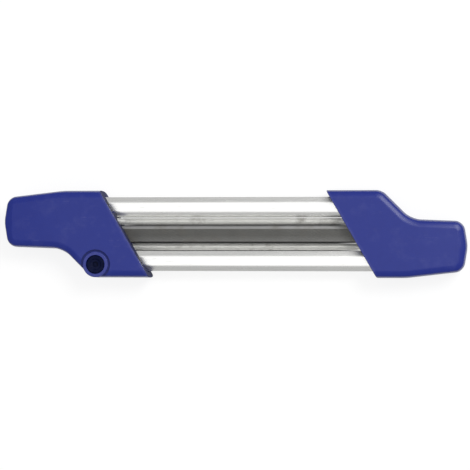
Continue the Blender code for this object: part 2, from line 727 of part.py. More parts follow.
def file_holder(handle, pockets):
    """A block that fills a handle's mouth, square at its back, with pockets for the rails and files."""
    parent = handle.parent
    clear = SHELL_WALL + SEAT_GAP + SIDE_DRAFT + cavity_inset(HOLDER_TOP)
    corners = handle_corners(handle)
    outline = rounded(inset(corners, [clear] * (len(corners) - 1) + [SHELL_WALL + SEAT_GAP]))
    name = f"{handle.label}_file_holder"
    made = prism(name, outline, -HOLDER_TOP, HOLDER_TOP, parent, HOLDER_PLASTIC)
    low = (HOLDER_BACK_DISTANCE, -HEAD_SIDE, -HANDLE_HEIGHT)
    high = (HANDLE_REACH + OVERRUN, HEAD_SIDE, HANDLE_HEIGHT)
    back = box(f"{name}_back", low, high, parent)
    boss = SCREW_SINK_DIAMETER / 2 + SCREW_BOSS_WALL + SEAT_GAP
    reach = HANDLE_HEIGHT
    hole = cylinder(f"{name}_boss_hole", boss, -reach, reach, ROOT_SCREW_PLACE, parent, SHAFT_SIDES)
    cut(made, back, hole, pockets)
    return made


def rail_pin_holes(holder):
    """The rails are fixed in the right handle alone, by a pin through the holder at each."""
    reach = HANDLE_HEIGHT
    for name, side in (("back", 1), ("front", -1)):
        radius = RAIL_PIN_DIAMETER / 2 + SEAT_GAP
        title = f"{name}_rail_pin_bore"
        cut(holder, cylinder(title, radius, -reach, reach, rail_pin_place(side), MIDDLE, BORE_SIDES))


def lock():
    """The quarter-turn lock: a knob in a tower, an eccentric cam beside the rail, and a screw."""
    axis = empty("lock_axis", (LOCK_DISTANCE, LOCK_SIDE, 0), (0, 0, 0), LEFT)
    knob_radius = LOCK_KNOB_DIAMETER / 2
    stem_radius = LOCK_STEM_DIAMETER / 2
    top = HALF_HEIGHT - LOCK_KNOB_SINK
    under = top - LOCK_KNOB_THICKNESS
    cam_top = RAIL_HALF_THICKNESS + LOCK_CAM_RISE
    stem_end = cam_top + SEAT_GAP
    dish = LOCK_DISH_DIAMETER / 2
    profile = [
        (0, top - LOCK_DISH_DEPTH),
        (dish - LOCK_DISH_DEPTH, top - LOCK_DISH_DEPTH),
        (dish, top),
        (knob_radius - LOCK_KNOB_ROUND, top),
        (knob_radius, top - LOCK_KNOB_ROUND),
        (knob_radius, under),
        (stem_radius, under),
        (stem_radius, stem_end),
        (0, stem_end),
    ]
    knob = turned("lock_knob", profile, axis, LOCK_SIDES, BLACK_PLASTIC)
    socket_radius = LOCK_SOCKET_WIDTH / 2 / math.cos(math.pi / HEX_SIDES)
    floor = top - LOCK_DISH_DEPTH - LOCK_SOCKET_DEPTH
    cut(knob, cylinder("lock_socket", socket_radius, floor, HALF_HEIGHT + OVERRUN, (0, 0), axis, HEX_SIDES))
    screw_bore = LOCK_SCREW_DIAMETER / 2 + SEAT_GAP
    bite = stem_end + LOCK_SCREW_BITE
    cut(knob, cylinder("lock_stem_bore", screw_bore, stem_end - OVERRUN, bite, (0, 0), axis, BORE_SIDES))

    cam_bottom = cam_top - LOCK_CAM_HEIGHT
    pivot_end = cam_bottom - LOCK_PIVOT_LENGTH
    pivot = LOCK_PIVOT_DIAMETER / 2
    pivot_top = cam_top - LOCK_CAM_THROW
    cam = cylinder("lock_cam", pivot, pivot_end, pivot_top, (0, 0), axis, SHAFT_SIDES, FASTENER_STEEL)
    lobe = LOCK_CAM_DIAMETER / 2
    lobe_place = (0, -LOCK_CAM_THROW)
    join(cam, cylinder("lock_lobe", lobe, cam_bottom, cam_top, lobe_place, axis, LOCK_SIDES))
    low = pivot_end - OVERRUN
    cut(cam, cylinder("lock_cam_bore", screw_bore, low, cam_top + OVERRUN, (0, 0), axis, BORE_SIDES))

    seat = pivot_end - SEAT_GAP
    radius = LOCK_SCREW_DIAMETER / 2
    head = LOCK_SCREW_HEAD_DIAMETER / 2
    face = seat - LOCK_SCREW_HEAD_HEIGHT
    screw_profile = [
        (0, bite - SEAT_GAP),
        (radius, bite - SEAT_GAP),
        (radius, seat),
        (head, seat),
        (head, face + LOCK_SCREW_HEAD_HEIGHT / 2),
        (head - LOCK_SCREW_HEAD_HEIGHT / 2, face),
        (0, face),
    ]
    screw = turned("lock_screw", screw_profile, axis, BORE_SIDES, FASTENER_STEEL)
    drive = SCREW_DRIVE_WIDTH / 2
    depth = face + LOCK_SCREW_HEAD_HEIGHT / 2
    cut(screw, cylinder("lock_screw_drive", drive, face - OVERRUN, depth, (0, 0), axis, HEX_SIDES))

    washer_top = under - SEAT_GAP
    washer_low = washer_top - LOCK_WASHER_THICKNESS
    outer = stem_radius + SEAT_GAP + LOCK_WASHER_WIDTH
    place = (LOCK_DISTANCE, LOCK_SIDE)
    washer = cylinder("lock_washer", outer, washer_low, washer_top, place, LEFT, LOCK_SIDES, FASTENER_STEEL)
    inner = stem_radius + SEAT_GAP
    low, high = washer_low - OVERRUN, washer_top + OVERRUN
    cut(washer, cylinder("lock_washer_bore", inner, low, high, place, LEFT, LOCK_SIDES))
    return washer_low - SEAT_GAP, face - SEAT_GAP


def seat_lock(upper, lower, holder, recess_floor, socket_floor):
    """Fits the left shells and the left holder to the lock."""
    place = (LOCK_DISTANCE, LOCK_SIDE)
    tower = HEAD_CORNER_RADIUS - LOCK_TOWER_STEP
    tower_low = HALF_HEIGHT - LOCK_TOWER_DEPTH
    recess = LOCK_KNOB_DIAMETER / 2 + SEAT_GAP
    stem = LOCK_STEM_DIAMETER / 2 + SEAT_GAP
    ring_outer = tower + LOCK_GROOVE_WIDTH
    groove_floor = HALF_HEIGHT - LOCK_GROOVE_DEPTH
    above = HALF_HEIGHT + OVERRUN
    groove = cylinder("lock_groove", ring_outer, groove_floor, above, place, LEFT, LOCK_SIDES)
    levels = (
        (tower, tower_low),
        (tower, HALF_HEIGHT - LOCK_TOWER_CHAMFER),
        (tower - LOCK_TOWER_CHAMFER, HALF_HEIGHT),
    )
    rings = [[(*point, height) for point in circle(0, 0, radius, LOCK_SIDES)] for radius, height in levels]
    post = finish("lock_tower", loft(rings), LEFT, None)
    post.location = (*place, 0)
    cut(upper, groove)
    join(upper, post)
    cut(
        upper,
        cylinder("lock_recess", recess, recess_floor, above, place, LEFT, LOCK_SIDES),
        cylinder("lock_stem_hole", stem, tower_low - OVERRUN, HALF_HEIGHT, place, LEFT, SHAFT_SIDES),
    )
    bore = max(LOCK_PIVOT_DIAMETER, LOCK_SCREW_HEAD_DIAMETER) / 2 + SEAT_GAP
    boss_top = -RAIL_HALF_THICKNESS - MOUTH_CLEARANCE
    foot = bore + LOCK_BOSS_WALL
    join(lower, cylinder("lock_foot", foot, -CEILING - SEAT_GAP, boss_top, place, LEFT, SHAFT_SIDES))
    cut(lower, cylinder("lock_foot_bore", bore, socket_floor, OVERRUN, place, LEFT, SHAFT_SIDES))
    shaft = max(LOCK_CAM_DIAMETER / 2 + LOCK_CAM_THROW, foot) + SEAT_GAP
    room = tower + SEAT_GAP
    reach = HANDLE_HEIGHT
    cut(
        holder,
        cylinder("lock_shaft_hole", shaft, -reach, reach, place, LEFT, LOCK_SIDES),
        cylinder("lock_tower_hole", room, tower_low - SEAT_GAP, reach, place, LEFT, LOCK_SIDES),
    )


def handles():
    left, right = -rim_reach(LEFT_RIM_COVER), rim_reach(RIGHT_RIM_COVER)
    mouth = file_paths("mouth", MOUTH_CLEARANCE, ((left, right), (left, right)), (left, right))
    low = (left, -RAIL_INNER_SIDE, -RAIL_HALF_THICKNESS)
    join(mouth, box("mouth_slot", low, (right, RAIL_INNER_SIDE, RAIL_HALF_THICKNESS), MIDDLE))
    rail_ends = (
        (-RAIL_LONG_REACH - SEAT_GAP, RAIL_SHORT_REACH + SEAT_GAP),
        (-RAIL_SHORT_REACH - SEAT_GAP, RAIL_LONG_REACH + SEAT_GAP),
    )
    file_ends = (FILE_START - SEAT_GAP, FILE_END + SEAT_GAP)
    pockets = file_paths("pockets", SEAT_GAP, rail_ends, file_ends)
    made = {}
    for handle in (
        Handle("right", -RIGHT_RIM_COVER, RIGHT_HEAD_CORNER_DISTANCE, RIGHT),
        Handle("left", -LEFT_RIM_COVER, LEFT_HEAD_CORNER_DISTANCE, LEFT),
    ):
        made[handle.label] = (
            upper_shell(handle, mouth),
            lower_shell(handle, mouth),
            file_holder(handle, pockets),
        )
        handle_screws(handle)
    rail_pin_holes(made["right"][2])
    recess_floor, socket_floor = lock()
    seat_lock(*made["left"], recess_floor, socket_floor)


rails()
files()
handles()
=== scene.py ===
import math

import bmesh
import bpy
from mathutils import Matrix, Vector


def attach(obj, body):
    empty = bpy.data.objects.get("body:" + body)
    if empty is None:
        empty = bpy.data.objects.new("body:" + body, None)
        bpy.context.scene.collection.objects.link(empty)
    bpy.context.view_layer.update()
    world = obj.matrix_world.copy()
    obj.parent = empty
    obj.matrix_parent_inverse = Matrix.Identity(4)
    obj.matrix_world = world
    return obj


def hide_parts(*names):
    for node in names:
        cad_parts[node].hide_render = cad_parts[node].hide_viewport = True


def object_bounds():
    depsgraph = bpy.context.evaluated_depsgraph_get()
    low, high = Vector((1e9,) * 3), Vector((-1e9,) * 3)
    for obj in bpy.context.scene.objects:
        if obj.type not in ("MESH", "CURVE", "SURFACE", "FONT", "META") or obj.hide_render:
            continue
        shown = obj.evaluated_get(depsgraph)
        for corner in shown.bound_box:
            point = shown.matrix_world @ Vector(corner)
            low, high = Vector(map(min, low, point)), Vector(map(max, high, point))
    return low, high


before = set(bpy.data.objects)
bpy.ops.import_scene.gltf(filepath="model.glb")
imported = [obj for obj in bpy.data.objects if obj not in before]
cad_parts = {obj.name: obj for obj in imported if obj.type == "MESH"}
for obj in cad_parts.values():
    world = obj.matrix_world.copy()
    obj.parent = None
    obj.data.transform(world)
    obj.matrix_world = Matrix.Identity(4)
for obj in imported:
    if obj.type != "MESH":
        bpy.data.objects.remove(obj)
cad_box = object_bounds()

# Handle housings
# Each handle is two thin moulded shells of blue plastic, held by three screws from below. A slanted rim
# faces the saw, with a mouth for the rails and files, and a soft slope runs round the top. The left handle
# has a tower for the lock.
TOP = cad_box[1].z
MIDDLE = TOP / 2
PARTING_GAP = 0.0003
FILING_ANGLE = math.radians(30)
HEAD_SLOPE = math.radians(45)
RIMS = {"right": 0.0865, "left": 0.0795}
HEAD_SIDE = 0.032
HEAD_CORNERS = {"right": 0.1082, "left": 0.1047}
HEAD_RADIUS = 0.0098
WAIST_RUN = 0.0211
WAIST_SIDE = 0.0109
WAIST_RADIUS = 0.018
GRIP_END = 0.1673
GRIP_INNER_SIDE = 0.0094
GRIP_OUTER_SIDE = 0.0272
GRIP_END_RADIUS = 0.0078
GRIP_BULGE = 0.00294
GRIP_BULGE_RADIUS = 0.0218
GRIP_TAPER_START = 0.126
GRIP_TAPER_RADIUS = 0.060
CORNER_STEPS = 10
SIDE_DRAFT = 0.00025
SIDE_PROFILE = (
    (0.00045, 0.00258), (0.00035, 0.00150), (0.00035, 0.00065), (0.00040, 0.00040), (0.00050, 0.00030),
    (0.00070, 0.00031), (0.00080, 0.00029), (0.00080, 0.00025), (0.00070, 0.00015), (0.00075, 0.00007),
)
SIDE_REACH, SIDE_DROP = (sum(lengths) for lengths in zip(*SIDE_PROFILE))
GRIP_KNEE = 0.122
GRIP_SLICES = 10
GRIP_DROOP_SCALE = 0.843
SHELL_WALL = 0.0025
RIM_CORNER_ROUND = 0.0022
RIM_EDGE_SHARE = 0.7
MOUTH_CLEARANCE = 0.0008
MOUTH_REACH = 0.0195
CROWN_WIDTH = 0.00675
CROWN_ROOM = 0.0212
CROWN_DEPTH = 0.016
RAIL_SECTION = (0.015, 0.0036)
RAIL_SIDE = 0.0197
ROUND_FILE_PLACE = (0.00935, 0.00324)
ROUND_FILE_RADIUS = 0.0024
FLAT_FILE_SECTION = (0.0128, 0.0049)
SCREW_PLACES = {"root": (0.113, 0.009), "waist": (0.1285, -0.0205), "grip": (0.157, -0.0085)}
SCREW_SEAT = 0.0045
SCREW_SINK_RADIUS = 0.003
SCREW_SINK_CHAMFER = 0.0004
SCREW_BORE_RADIUS = 0.0017
SCREW_SEAT_RADIUS = 0.0048
SCREW_SEAT_THICKNESS = 0.0018
LOCK_PLACE = (HEAD_CORNERS["left"] - HEAD_RADIUS * math.tan(HEAD_SLOPE / 2), HEAD_SIDE - HEAD_RADIUS)
LOCK_SIDES = 100
TOWER_RADIUS = 0.0094
TOWER_DEPTH = 0.0078
TOWER_CHAMFER = 0.0007
GROOVE_RADIUS = 0.0109
GROOVE_DEPTH = 0.0009
RECESS_RADIUS = 0.0069
RECESS_DEPTH = 0.0038
STEM_HOLE_RADIUS = 0.0033
ROUND_SIDES = 48
MOUTH_SIDES = 40
SHARP_EDGE = math.radians(32)
PAST = 0.001
TINY = 0.000001
SCRATCH_TILT = (0.3, 0.2)
SCRATCH_TURNS = (0.5, 1.9, -0.9)
SCRATCH_STRETCH = (40, 1700, 400)
BLUE = (0.0076, 0.0188, 0.214)
BLUE_FLOW = (0.0108, 0.0243, 0.239)
# Lighter blue of scuffs and scratches, also painted on the rims and the lock's ring as a highlight.
BLUE_SCUFF_AND_HIGHLIGHT = (0.10, 0.11, 0.31)
# Near-black blue, painted as shade on the rim walls and in the lock's groove.
BLUE_PAINTED_SHADE = (0.012, 0.014, 0.030)
BLUE_GRAIN_HEIGHT = 0.00008


def alone(piece):
    bpy.ops.object.select_all(action="DESELECT")
    piece.select_set(True)
    bpy.context.view_layer.objects.active = piece


def edit(piece):
    alone(piece)
    bpy.ops.object.mode_set(mode="EDIT")


def leave():
    bpy.ops.object.mode_set(mode="OBJECT")


def pick(kind, test, together=None):
    """In edit mode, selects the points, edges or faces whose points pass a test each, and one together."""
    bpy.ops.mesh.select_mode(type=kind)
    bpy.ops.mesh.select_all(action="DESELECT")
    mesh = bmesh.from_edit_mesh(bpy.context.object.data)
    groups = {"VERT": mesh.verts, "EDGE": mesh.edges, "FACE": mesh.faces}
    for item in groups[kind]:
        points = [item.co] if kind == "VERT" else [point.co for point in item.verts]
        if all(test(point) for point in points) and (together is None or together(points)):
            item.select_set(True)
    mesh.select_flush_mode()
    bmesh.update_edit_mesh(bpy.context.object.data)


def near(*place):
    """A test for points at a place seen from above."""
    target = Vector(place)
    return lambda point: (point.to_2d() - target).length < 10 * TINY


def settle(piece, name):
    """Gives a finished primitive its name and puts its place into its mesh."""
    piece.name = piece.data.name = name
    alone(piece)
    bpy.ops.object.transform_apply(location=True, rotation=True, scale=True)
    return piece


def apply(piece, kind, **settings):
    """Adds a modifier with these settings and applies it."""
    alone(piece)
    modifier = piece.modifiers.new(kind.lower(), kind)
    for setting, value in settings.items():
        setattr(modifier, setting, value)
    bpy.ops.object.modifier_apply(modifier=modifier.name)


def carve(piece, *tools, operation="DIFFERENCE"):
    """Cuts tools out of a piece, or joins them to it, and throws them away."""
    for tool in tools:
        apply(piece, "BOOLEAN", object=tool, operation=operation, solver="EXACT")
        bpy.data.objects.remove(tool, do_unlink=True)


def trim(piece, place, normal):
    """Cuts off what lies beyond a plane."""
    edit(piece)
    bpy.ops.mesh.select_all(action="SELECT")
    square = Vector(normal).normalized()
    bpy.ops.mesh.bisect(plane_co=place, plane_no=square, clear_outer=True, use_fill=True, threshold=TINY)
    leave()


def cube(name, centre, size):
    bpy.ops.object.select_all(action="DESELECT")
    bpy.ops.mesh.primitive_cube_add(size=1, location=centre, scale=size)
    return settle(bpy.context.object, name)


def cylinder(name, place, radius, low, high, sides=ROUND_SIDES):
    """An upright cylinder between two heights."""
    bpy.ops.object.select_all(action="DESELECT")
    bpy.ops.mesh.primitive_cylinder_add(
        vertices=sides, radius=radius, depth=high - low, location=(*place, (low + high) / 2)
    )
    return settle(bpy.context.object, name)


def lengthwise(name, side, height, radius, length, sides=ROUND_SIDES):
    """A cylinder along X."""
    bpy.ops.object.select_all(action="DESELECT")
    turn = (0, math.pi / 2, 0)
    bpy.ops.mesh.primitive_cylinder_add(
        vertices=sides, radius=radius, depth=length, location=(0, side, height), rotation=turn
    )
    return settle(bpy.context.object, name)


def smooth(piece):
    """Smooth shading with sharp edges kept, and flat faces kept flat."""
    edit(piece)
    bpy.ops.mesh.select_all(action="SELECT")
    bpy.ops.mesh.normals_make_consistent(inside=False)
    leave()
    alone(piece)
    bpy.ops.object.shade_smooth_by_angle(angle=SHARP_EDGE)
    apply(piece, "WEIGHTED_NORMAL", keep_sharp=True)


def round_corner(x, y, radius):
    """Rounds a corner of the flat outline that is being edited."""
    pick("VERT", near(x, y))
    mesh = bmesh.from_edit_mesh(bpy.context.object.data)
    corner = next(point for point in mesh.verts if point.select)
    sides = [edge.other_vert(corner).co - corner.co for edge in corner.link_edges]
    turn = math.pi - sides[0].angle(sides[1])
    bpy.ops.mesh.bevel(offset=radius * math.tan(turn / 2), segments=CORNER_STEPS, affect="VERTICES")


def handle_outline(name, label, base):
    """The flat outline of a handle in the place of the right one, with its rim end left square."""
    corner = HEAD_CORNERS[label]
    waist = corner + WAIST_RUN
    bpy.ops.object.select_all(action="DESELECT")
    bpy.ops.mesh.primitive_plane_add(size=2 * HEAD_SIDE, location=(corner - HEAD_SIDE, 0, base))
    outline = settle(bpy.context.object, name)
    edit(outline)
    for start, end in ((corner, waist), (waist, GRIP_END)):
        pick("EDGE", lambda point: abs(point.x - start) < TINY)
        bpy.ops.mesh.extrude_region_move(TRANSFORM_OT_translate={"value": (end - start, 0, 0)})
    pick("VERT", near(waist, HEAD_SIDE))
    bpy.ops.transform.translate(value=(0, WAIST_SIDE - HEAD_SIDE, 0))
    pick("VERT", near(waist, -HEAD_SIDE))
    bpy.ops.transform.translate(value=(GRIP_TAPER_START - waist, 0, 0))
    pick("VERT", near(GRIP_END, HEAD_SIDE))
    bpy.ops.transform.translate(value=(0, GRIP_INNER_SIDE - HEAD_SIDE, 0))
    pick("VERT", near(GRIP_END, -HEAD_SIDE))
    bpy.ops.transform.translate(value=(0, HEAD_SIDE - GRIP_OUTER_SIDE, 0))
    pick("EDGE", lambda point: abs(point.x - GRIP_END) < TINY)
    bpy.ops.mesh.subdivide(number_cuts=1)
    end_middle = (GRIP_INNER_SIDE - GRIP_OUTER_SIDE) / 2
    pick("VERT", near(GRIP_END, end_middle))
    bpy.ops.transform.translate(value=(GRIP_BULGE, 0, 0))
    bpy.ops.mesh.select_mode(type="FACE")
    bpy.ops.mesh.select_all(action="SELECT")
    bpy.ops.mesh.dissolve_faces()
    bpy.ops.mesh.select_all(action="SELECT")
    bpy.ops.mesh.dissolve_limited(angle_limit=math.radians(1))
    round_corner(corner, HEAD_SIDE, HEAD_RADIUS)
    round_corner(waist, WAIST_SIDE, WAIST_RADIUS)
    round_corner(GRIP_END, GRIP_INNER_SIDE, GRIP_END_RADIUS)
    round_corner(GRIP_END + GRIP_BULGE, end_middle, GRIP_BULGE_RADIUS)
    round_corner(GRIP_END, -GRIP_OUTER_SIDE, GRIP_END_RADIUS)
    round_corner(GRIP_TAPER_START, -HEAD_SIDE, GRIP_TAPER_RADIUS)
    return outline


def handle_blank(name, label, base, wall):
    """The upper half of a handle from a base height up, or with a wall the form of its cavity.

    The side rises straight, and then goes inwards and up by the steps of its profile.
    """
    blank = handle_outline(name, label, base)
    bpy.ops.mesh.select_mode(type="FACE")
    bpy.ops.mesh.select_all(action="SELECT")
    if wall:
        bpy.ops.mesh.inset(thickness=wall)
        bpy.ops.mesh.select_all(action="INVERT")
        bpy.ops.mesh.delete(type="FACE")
        bpy.ops.mesh.select_all(action="SELECT")
    bpy.ops.mesh.inset(thickness=SIDE_DRAFT, depth=TOP - SIDE_DROP - base)
    for inwards, rise in SIDE_PROFILE:
        bpy.ops.mesh.inset(thickness=inwards * (1 - wall / SIDE_REACH), depth=rise * (1 - wall / SIDE_DROP))
    pick("VERT", lambda point: point.z < base + TINY)
    bpy.ops.mesh.edge_face_add()
    for slice_number in range(GRIP_SLICES):
        bpy.ops.mesh.select_all(action="SELECT")
        along = GRIP_KNEE + wall + (GRIP_END - GRIP_KNEE) * slice_number / GRIP_SLICES
        bpy.ops.mesh.bisect(plane_co=(along, 0, 0), plane_no=(1, 0, 0), threshold=TINY)
    pick("VERT", lambda point: point.x > GRIP_END)
    bpy.ops.transform.resize(
        value=(1, 1, GRIP_DROOP_SCALE), center_override=(GRIP_END, 0, MIDDLE), use_proportional_edit=True,
        proportional_edit_falloff="SHARP", proportional_size=GRIP_END - GRIP_KNEE,
    )
    leave()
    return blank


def shell(name, label, upper):
    """A half of a handle in the place of the right handle, with its rim cut and its wall."""
    slant = Vector((math.cos(FILING_ANGLE), math.sin(FILING_ANGLE), 0))
    place = Vector((RIMS[label], 0, 0))
    piece = handle_blank(name, label, MIDDLE + PARTING_GAP / 2, 0)
    cavity = handle_blank("cavity", label, MIDDLE - PAST, SHELL_WALL)
    trim(piece, place, -slant)
    trim(cavity, place + slant * SHELL_WALL, -slant)

    def on_rim(point):
        return abs((point - place).dot(slant)) < TINY

    edit(piece)
    pick("EDGE", on_rim, lambda points: max(point.z for point in points) > MIDDLE + SHELL_WALL / 2)
    bpy.ops.transform.edge_bevelweight(value=1)
    pick("EDGE", on_rim, lambda points: min(point.z for point in points) > TOP - SIDE_DROP / 2)
    bpy.ops.transform.edge_bevelweight(value=RIM_EDGE_SHARE - 1)
    leave()
    apply(piece, "BEVEL", limit_method="WEIGHT", width=RIM_CORNER_ROUND, segments=4)
    carve(piece, cavity)
    if not upper:
        edit(piece)
        bpy.ops.mesh.select_all(action="SELECT")
        bpy.ops.transform.resize(value=(1, 1, -1), center_override=(0, 0, MIDDLE))
        bpy.ops.mesh.flip_normals()
        leave()
    return piece


def add_screw_seats(piece):
    """The seats inside a lower shell for its screws' heads, each with its sink from below and its bore."""
    seat_top = SCREW_SEAT + SCREW_SEAT_THICKNESS
    for place in SCREW_PLACES.values():
        seat = cylinder("seat", place, SCREW_SEAT_RADIUS, SHELL_WALL - PARTING_GAP, seat_top)
        carve(piece, seat, operation="UNION")
        bpy.ops.object.select_all(action="DESELECT")
        bpy.ops.mesh.primitive_cone_add(
            vertices=ROUND_SIDES, radius1=SCREW_SINK_RADIUS + SCREW_SINK_CHAMFER + PAST,
            radius2=SCREW_SINK_RADIUS, depth=SCREW_SINK_CHAMFER + PAST,
            location=(*place, (SCREW_SINK_CHAMFER - PAST) / 2),
        )
        chamfer = settle(bpy.context.object, "chamfer")
        sink = cylinder("sink", place, SCREW_SINK_RADIUS, -PAST, SCREW_SEAT)
        bore = cylinder("bore", place, SCREW_BORE_RADIUS, -PAST, MIDDLE)
        carve(piece, chamfer, sink, bore)


def add_lock_tower(piece):
    """The tower in its groove, with a recess for the knob and a hole for the knob's stem."""
    carve(piece, cylinder("groove", LOCK_PLACE, GROOVE_RADIUS, TOP - GROOVE_DEPTH, TOP + PAST, LOCK_SIDES))
    tower = cylinder("tower", LOCK_PLACE, TOWER_RADIUS, TOP - TOWER_DEPTH, TOP, LOCK_SIDES)
    edit(tower)
    pick("EDGE", lambda point: point.z > TOP - TINY)
    bpy.ops.mesh.bevel(offset=TOWER_CHAMFER, segments=3, affect="EDGES")
    leave()
    carve(piece, tower, operation="UNION")
    recess = cylinder("recess", LOCK_PLACE, RECESS_RADIUS, TOP - RECESS_DEPTH, TOP + PAST, LOCK_SIDES)
    carve(piece, recess, cylinder("stem_hole", LOCK_PLACE, STEM_HOLE_RADIUS, MIDDLE, TOP))


def mouth_tools(label):
    """The room that the rails and files need through a rim, with a clearance all round."""
    length = 2 * (RIMS[label] + MOUTH_REACH)
    side, height = ROUND_FILE_PLACE
    radius = ROUND_FILE_RADIUS + MOUTH_CLEARANCE
    rail = [dimension + 2 * MOUTH_CLEARANCE for dimension in RAIL_SECTION]
    flat = [dimension + 2 * MOUTH_CLEARANCE for dimension in FLAT_FILE_SECTION]
    tools = [
        cube("mouth_flat_file", (0, 0, MIDDLE), (length, *flat)),
        cube("mouth_slot", (0, 0, MIDDLE), (length, 2 * RAIL_SIDE, RAIL_SECTION[1])),
    ]
    turn = 1 if label == "right" else -1
    for sign in (1, -1):
        along = turn * (RIMS[label] - sign * RAIL_SIDE * math.tan(FILING_ANGLE))
        crown = (CROWN_DEPTH, CROWN_WIDTH + 2 * MOUTH_CLEARANCE, CROWN_ROOM)
        tools.append(cube("mouth_crown", (along, turn * sign * RAIL_SIDE, MIDDLE), crown))
        tools.append(cube("mouth_rail", (0, sign * RAIL_SIDE, MIDDLE), (length, *rail)))
        middle = (sign * side, MIDDLE + sign * height)
        tools.append(lengthwise("mouth_file", *middle, radius, length, MOUTH_SIDES))
    return tools


def add(tree, kind, feeds, **settings):
    """A shader node with its settings, whose inputs are set to values or fed by other nodes."""
    made = tree.nodes.new("ShaderNode" + kind)
    for setting, value in settings.items():
        setattr(made, setting, value)
    for socket, source in feeds.items():
        if isinstance(source, bpy.types.NodeSocket):
            tree.links.new(source, made.inputs[socket])
        else:
            made.inputs[socket].default_value = source
    return made


def combine(tree, one, other, operation="ADD"):
    """The sum of two numbers or masks, or what another operation makes of them."""
    return add(tree, "Math", {0: one, 1: other}, operation=operation).outputs[0]


def spread(tree, value, low, high, start=0.0, end=1.0):
    """Spreads a mask, or the part of it between a start and an end, between two numbers."""
    ranges = {"Value": value, "From Min": start, "From Max": end, "To Min": low, "To Max": high}
    return add(tree, "MapRange", ranges).outputs["Result"]


def mixed(tree, mask, plain, marked):
    """One colour where the mask is nought, going over to another."""
    mix = add(tree, "Mix", {0: mask}, data_type="RGBA")
    for socket, colour in ((6, plain), (7, marked)):
        if isinstance(colour, bpy.types.NodeSocket):
            tree.links.new(colour, mix.inputs[socket])
        else:
            mix.inputs[socket].default_value = (*colour, 1)
    return mix.outputs[2]


def effect(name, numbers, masks):
    """A node group with numbers for inputs and masks for outputs, and its object coordinates."""
    tree = bpy.data.node_groups.new(name, "ShaderNodeTree")
    for title, value in numbers.items():
        tree.interface.new_socket(title, in_out="INPUT", socket_type="NodeSocketFloat").default_value = value
    for title in masks:
        tree.interface.new_socket(title, in_out="OUTPUT", socket_type="NodeSocketFloat")
    given = tree.nodes.new("NodeGroupInput").outputs
    result = tree.nodes.new("NodeGroupOutput").inputs
    return tree, given, result, add(tree, "TexCoord", {}).outputs["Object"]


def use(tree, group, **numbers):
    """Places an effect in a material with its own numbers, and gives its masks."""
    made = add(tree, "Group", {}, node_tree=group)
    for title, value in numbers.items():
        made.inputs[title.replace("_", " ")].default_value = value
    return made.outputs


def surface(name, roughness, metallic=0.0, specular=0.5):
    """A new material, its node tree and its shader's inputs."""
    made = bpy.data.materials.new(name)
    made.use_nodes = True
    shader = made.node_tree.nodes["Principled BSDF"]
    shader.inputs["Roughness"].default_value = roughness
    shader.inputs["Metallic"].default_value = metallic
    shader.inputs["Specular IOR Level"].default_value = specular
    return made, made.node_tree, shader.inputs


def feed(tree, shader, **sockets):
    """Links outputs to the shader's inputs of the same names."""
    for title, output in sockets.items():
        tree.links.new(output, shader[title.replace("_", " ")])


def paint(piece, material):
    piece.data.materials.clear()
    piece.data.materials.append(material)


def moulding():
    """Mottle from the melt, the mould's fine grain, hairline scratches, and scuffs in patches."""
    tree, given, result, place = effect(
        "moulding", {"Mottle Size": 0.005, "Grain Size": 0.0003}, ("Mottle", "Grain", "Scratches", "Scuffs")
    )
    for title, detail in (("Mottle", 4), ("Grain", 2)):
        scale = combine(tree, 1.0, given[f"{title} Size"], "DIVIDE")
        noise = add(tree, "TexNoise", {"Vector": place, "Scale": scale, "Detail": detail})
        tree.links.new(noise.outputs["Fac"], result[title])
    lines = 0.0
    for turn in SCRATCH_TURNS:
        direction = (*SCRATCH_TILT, turn)
        turned = add(tree, "Mapping", {"Vector": place, "Rotation": direction, "Scale": SCRATCH_STRETCH})
        streaks = add(tree, "TexNoise", {"Vector": turned.outputs[0], "Scale": 1.0, "Detail": 1})
        lines = combine(tree, lines, spread(tree, streaks.outputs["Fac"], 0, 1, 0.71, 0.76), "MAXIMUM")
    patches = add(tree, "TexNoise", {"Vector": place, "Scale": 70.0, "Detail": 6, "Roughness": 0.65})
    worn = spread(tree, patches.outputs["Fac"], 0, 1, 0.52, 0.7)
    tree.links.new(combine(tree, lines, worn, "MULTIPLY"), result["Scratches"])
    tree.links.new(worn, result["Scuffs"])
    return tree


def rim_wear_highlight_and_shade():
    """Masks of the rims: a lighter band that fades into the handle, partly wear and partly painted highlight,
    and painted shade on the wall, clear of its edges.
    """
    reaches = {"Wear Reach": 0.003, "Shade Reach": 0.0005}
    tree, given, result, place = effect("rim_wear_highlight_and_shade", reaches, ("Wear", "Painted Shade"))
    axes = add(tree, "SeparateXYZ", {"Vector": place}).outputs
    rims = add(tree, "Mapping", {"Vector": place, "Rotation": (0, 0, -FILING_ANGLE)})
    across = add(tree, "SeparateXYZ", {"Vector": rims.outputs[0]}).outputs["X"]
    left = combine(tree, axes["X"], 0.0, "LESS_THAN")
    rim = spread(tree, left, *(RIMS[label] * math.cos(FILING_ANGLE) for label in ("right", "left")))
    far = add(tree, "Math", {0: across}, operation="ABSOLUTE").outputs[0]
    inside = combine(tree, far, rim, "SUBTRACT")
    noise = add(tree, "TexNoise", {"Vector": place, "Scale": 260.0, "Detail": 5}).outputs["Fac"]
    # The lighter band along each rim: partly wear, partly a painted highlight.
    depth = combine(tree, combine(tree, inside, given["Wear Reach"], "DIVIDE"), noise)
    tree.links.new(spread(tree, depth, 1, 0, 0.3, 1.3), result["Wear"])
    # The rim wall, away from its top and bottom, is marked for painted shade.
    face = spread(tree, combine(tree, inside, given["Shade Reach"], "DIVIDE"), 1, 0, 0.6, 1.0)
    height = combine(tree, combine(tree, axes["Z"], MIDDLE, "SUBTRACT"), MIDDLE, "DIVIDE")
    from_middle = add(tree, "Math", {0: height}, operation="ABSOLUTE").outputs[0]
    ragged = combine(tree, from_middle, combine(tree, noise, 0.4, "MULTIPLY"))
    band = spread(tree, ragged, 1, 0, 1.0, 1.25)
    tree.links.new(combine(tree, face, band, "MULTIPLY"), result["Painted Shade"])
    return tree


